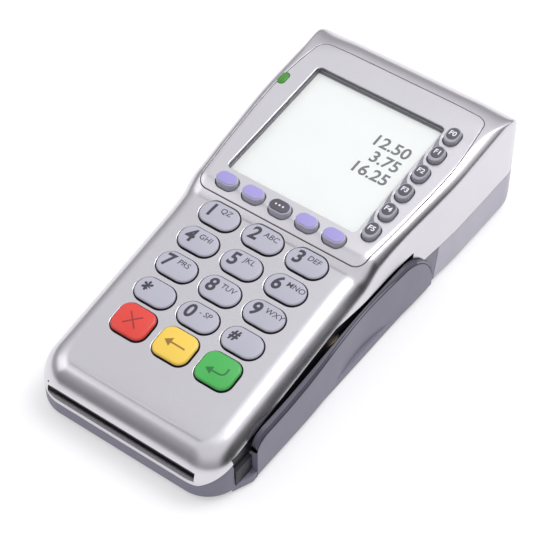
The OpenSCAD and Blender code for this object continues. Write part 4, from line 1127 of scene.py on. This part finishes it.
def flat_text(text, size, bold, slant=0.0):
    """Filled outline of a text, its own width centred on x = 0 and its height on y = 0."""
    data = bpy.data.curves.new("text", "FONT")
    data.body, data.size, data.offset, data.shear = text, size, bold, slant
    data.resolution_u = 5
    piece = new_object("text", data)
    graph = bpy.context.evaluated_depsgraph_get()
    mesh = bpy.data.meshes.new_from_object(piece.evaluated_get(graph))
    points, faces = fine_faces(mesh)
    bpy.data.objects.remove(piece)
    bpy.data.curves.remove(data)
    bpy.data.meshes.remove(mesh)
    points -= (points.min(0) + points.max(0)) / 2
    return points, faces


def raised(points, faces, height_at):
    """Thin closed layer of a flat drawing, laid over a surface."""
    n = len(points)
    z = np.array([height_at(x, y) for x, y in points])
    layers = [np.column_stack([points, z + INK_ABOVE]), np.column_stack([points, z - INK_BELOW])]
    area = sum(np.cross(points[f[1]] - points[f[0]], points[f[2]] - points[f[0]]) for f in faces)
    if area < 0:
        faces = [f[::-1] for f in faces]
    edges = dict.fromkeys(pair for f in faces for pair in zip(f, f[1:] + f[:1]))
    out = list(faces) + [tuple(i + n for i in f[::-1]) for f in faces]
    out += [(j, i, i + n, j + n) for i, j in edges if (j, i) not in edges]
    return np.concatenate(layers), out


def drawn(shape, flat, matrix, height_at, at=(0, 0)):
    """Adds a flat drawing to a shape, moved by at and laid on a surface."""
    points, faces = raised(flat[0] + np.asarray(at, float), flat[1], height_at)
    shape.add(place(points, matrix), faces, angle=20)


def polygon(outline):
    mesh = new_mesh("polygon", [(x, y, 0) for x, y in outline], [tuple(range(len(outline)))])
    result = fine_faces(mesh)
    bpy.data.meshes.remove(mesh)
    return result


def strip(x0, x1, half, angle=0):
    """Straight line with square ends, turned by an angle in degrees."""
    c, s = math.cos(math.radians(angle)), math.sin(math.radians(angle))
    return polygon([(x * c - y * s, x * s + y * c) for x, y in corners(x0, x1, -half, half)])


def stroke(path, half):
    """Curved line along a path."""
    p = np.asarray(path, float)
    step = np.gradient(p, axis=0)
    side = np.column_stack([-step[:, 1], step[:, 0]]) * half / np.linalg.norm(step, axis=1)[:, None]
    return polygon([tuple(q) for q in p + side] + [tuple(q) for q in (p - side)[::-1]])


LETTERS = (("1", "QZ"), ("2", "ABC"), ("3", "DEF"), ("4", "GHI"), ("5", "JKL"), ("6", "MNO"),
           ("7", "PRS"), ("8", "TUV"), ("9", "WXY"), ("*", ""), ("0", "- SP"), ("#", ""))
DIGIT_SIZE, STAR_SIZE, HASH_SIZE, LETTER_SIZE = 8.0, 9.0, 5.8, 3.25
DIGIT_PLACE, LETTER_X, LETTER_Y = (-3.8, 0.7), -0.3, 2.0

# Bend of the return arrow
BEND = [(3.7, 2.2), (3.7, 1.2), (3.68, 0.3), (3.45, -0.5), (2.95, -1.1), (2.2, -1.4), (1.2, -1.5),
        (-1.4, -1.5)]
MARKS = {
    "key_cancel": (INK_RED, [strip(-3.9, 3.9, 0.3, angle) for angle in (45, -45)]),
    "key_clear": (INK_BROWN, [strip(-1.6, 4.5, 0.34), polygon([(-4.6, 0), (-1.6, -1.9), (-1.6, 1.9)])]),
    "key_enter": (INK_GREEN, [stroke(BEND, 0.33), polygon([(-4.3, -1.5), (-1.4, -3.2), (-1.4, 0.2)])])}
key_top = dome_top(KEY_RISE, KEY_DOME)
command_top = dome_top(COMMAND_RISE, KEY_DOME)
menu_top = dome_top(MENU_RISE, MENU_DOME)
for k, (name, row, m) in enumerate(KEYS):
    shape = Shape()
    if row < 4:
        digit, letters = LETTERS[k]
        size = {"*": STAR_SIZE, "#": HASH_SIZE}.get(digit, DIGIT_SIZE)
        drawn(shape, flat_text(digit, size, 0.24, 0.1), m, key_top, DIGIT_PLACE)
        if letters:
            word = flat_text(letters, LETTER_SIZE, 0.02, 0.12)
            drawn(shape, word, m, key_top, (LETTER_X - word[0][:, 0].min(), LETTER_Y))
    else:
        for mark in MARKS[name][1]:
            drawn(shape, mark, m, command_top)
    add_piece(shape, name + "_legend", [MARKS[name][0] if name in MARKS else INK], name)

for k, m in enumerate(FUNCTION_FRAMES):
    shape = Shape()
    drawn(shape, flat_text(f"F{k}", 3.1, 0.07), m, menu_top, (0, 0.4))
    add_piece(shape, f"function_key_{k}_legend", [INK_WHITE], f"function_key_{k}")
shape = Shape()
for x in (-1.6, 0, 1.6):
    drawn(shape, polygon(circle(0, 0, 0.42, 16)), SOFT_FRAMES[2], menu_top, (x, 0))
add_piece(shape, "soft_key_middle_legend", [INK_WHITE], "soft_key_middle")

# Pointers from the function keys along the edge of the window
LEAF = [(-2.9, 0.2), (-3.7, 2.6), (-4.3, 6.0), (-4.6, 10.2), (-3.9, 8.2), (-3.1, 6.2), (-1.7, 4.5),
        (-1.3, 3.9), (-2.4, 2.3)]
shape = Shape()
for m in FUNCTION_FRAMES[1:]:
    drawn(shape, polygon(LEAF), m, lambda x, y: 0.02)
add_piece(shape, "function_pointers", [POINTER_GREY], "case")

# Rows of plain numbers on the display, each with its place along the window
NUMBER_SIZE, NUMBER_RIGHT, NUMBER_MIDDLE = 7.6, 24.5, 30.2
shape = Shape()
for text, along in (("12.50", 43.5), ("3.75", 36.0), ("16.25", 28.5)):
    number = flat_text(text, NUMBER_SIZE, 0.16)
    place_at = (NUMBER_RIGHT - number[0][:, 0].max(), along - NUMBER_MIDDLE)
    drawn(shape, number, WINDOW_FRAME, lambda x, y: -WALL - 1.0, place_at)
add_piece(shape, "display_digits", [LCD_INK], "case")


# Stage and lamps

def make_camera():
    data = bpy.data.cameras.new("camera")
    data.angle = math.radians(16.38)
    data.clip_start, data.clip_end = 0.01, 20
    camera = new_object("camera", data)
    camera.location = (0.2860, -0.3953, 0.5561)
    camera.rotation_euler = Vector((-0.3935, 0.5359, -0.7470)).to_track_quat("-Z", "Y").to_euler()
    bpy.context.scene.camera = camera


def seen_directly(tree):
    """1 for camera, glossy and transmission rays."""
    path = new_node(tree, "LightPath").outputs
    either = computed(tree, "MAXIMUM", path["Is Camera Ray"], path["Is Glossy Ray"])
    return computed(tree, "MAXIMUM", either, path["Is Transmission Ray"])


def make_floor():
    """Pale floor that glows a little where it is seen directly."""
    s = 1.6
    item, tree, shader = new_material("floor", {
        "Base Color": (0.60, 0.60, 0.61, 1), "Roughness": 0.9, "Specular IOR Level": 0.1,
        "Emission Color": (1, 1, 1, 1)})
    lift = computed(tree, "MULTIPLY", seen_directly(tree), 0.45)
    tree.links.new(lift, shader.inputs["Emission Strength"])
    mesh = new_mesh("floor", [(x, y, 0) for x, y in corners(-s, s, -s, s)], [(0, 1, 2, 3)])
    mesh.materials.append(item)
    new_object("floor", mesh)


def lamp(name, direction, distance, size, power):
    data = bpy.data.lights.new(name, "AREA")
    data.size, data.energy = size, power
    piece = new_object(name, data)
    way = Vector(direction).normalized()
    piece.location = way * distance
    piece.rotation_euler = (-way).to_track_quat("-Z", "Y").to_euler()


def zone(tree, source, direction, inner, outer):
    """1 within the inner angle of a direction and 0 outside the outer one, in degrees."""
    inputs = {0: source, 1: Vector(direction).normalized()}
    dot = new_node(tree, "VectorMath", inputs, operation="DOT_PRODUCT")
    ends = [math.cos(math.radians(angle)) for angle in (outer, inner)]
    return ranged(tree, dot.outputs["Value"], 0, 1, *ends, "SMOOTHSTEP")


# Direction, inner and outer angle, and how much light it takes or gives
DARK_ZONES = (((0.96, 0.10, 0.20), 24, 42, 0.97), ((-0.39, -0.04, 0.92), 2, 7, 0.85),
              ((-0.39, -0.85, 0.35), 14, 36, 0.45))
LIGHT_ZONES = (((0.60, 0.66, 0.45), 12, 28, 0.5), ((0.12, 0.30, 0.95), 10, 26, 0.45))


def make_world():
    """Studio dome, bright above, dimmer towards the horizon, with soft dark and light zones."""
    world = bpy.data.worlds.new("world")
    world.use_nodes = True
    tree = world.node_tree
    tree.nodes.clear()
    way = new_node(tree, "TexCoord").outputs["Generated"]
    height = new_node(tree, "SeparateXYZ", {0: way}).outputs["Z"]
    strength = ranged(tree, height, 0.35, 0.85, 0.05, 0.75, "SMOOTHSTEP")
    for *cone, depth in DARK_ZONES:
        keep = ranged(tree, zone(tree, way, *cone), 1, 1 - depth, 0, 1)
        strength = computed(tree, "MULTIPLY", strength, keep)
    for *cone, more in LIGHT_ZONES:
        strength = computed(tree, "MULTIPLY_ADD", zone(tree, way, *cone), more, strength)
    light = new_node(tree, "Background", {"Color": (0.96, 0.96, 1.0, 1), "Strength": strength})
    new_node(tree, "OutputWorld", {0: light.outputs[0]})
    bpy.context.scene.world = world


make_camera()
make_floor()
lamp("key_lamp", (0.24, 0.38, 0.88), 1.1, 0.55, 4.5)
lamp("fill_lamp", (-0.75, -0.35, 0.60), 1.2, 0.7, 1.0)
make_world()
bpy.context.scene.view_settings.view_transform = "Standard"
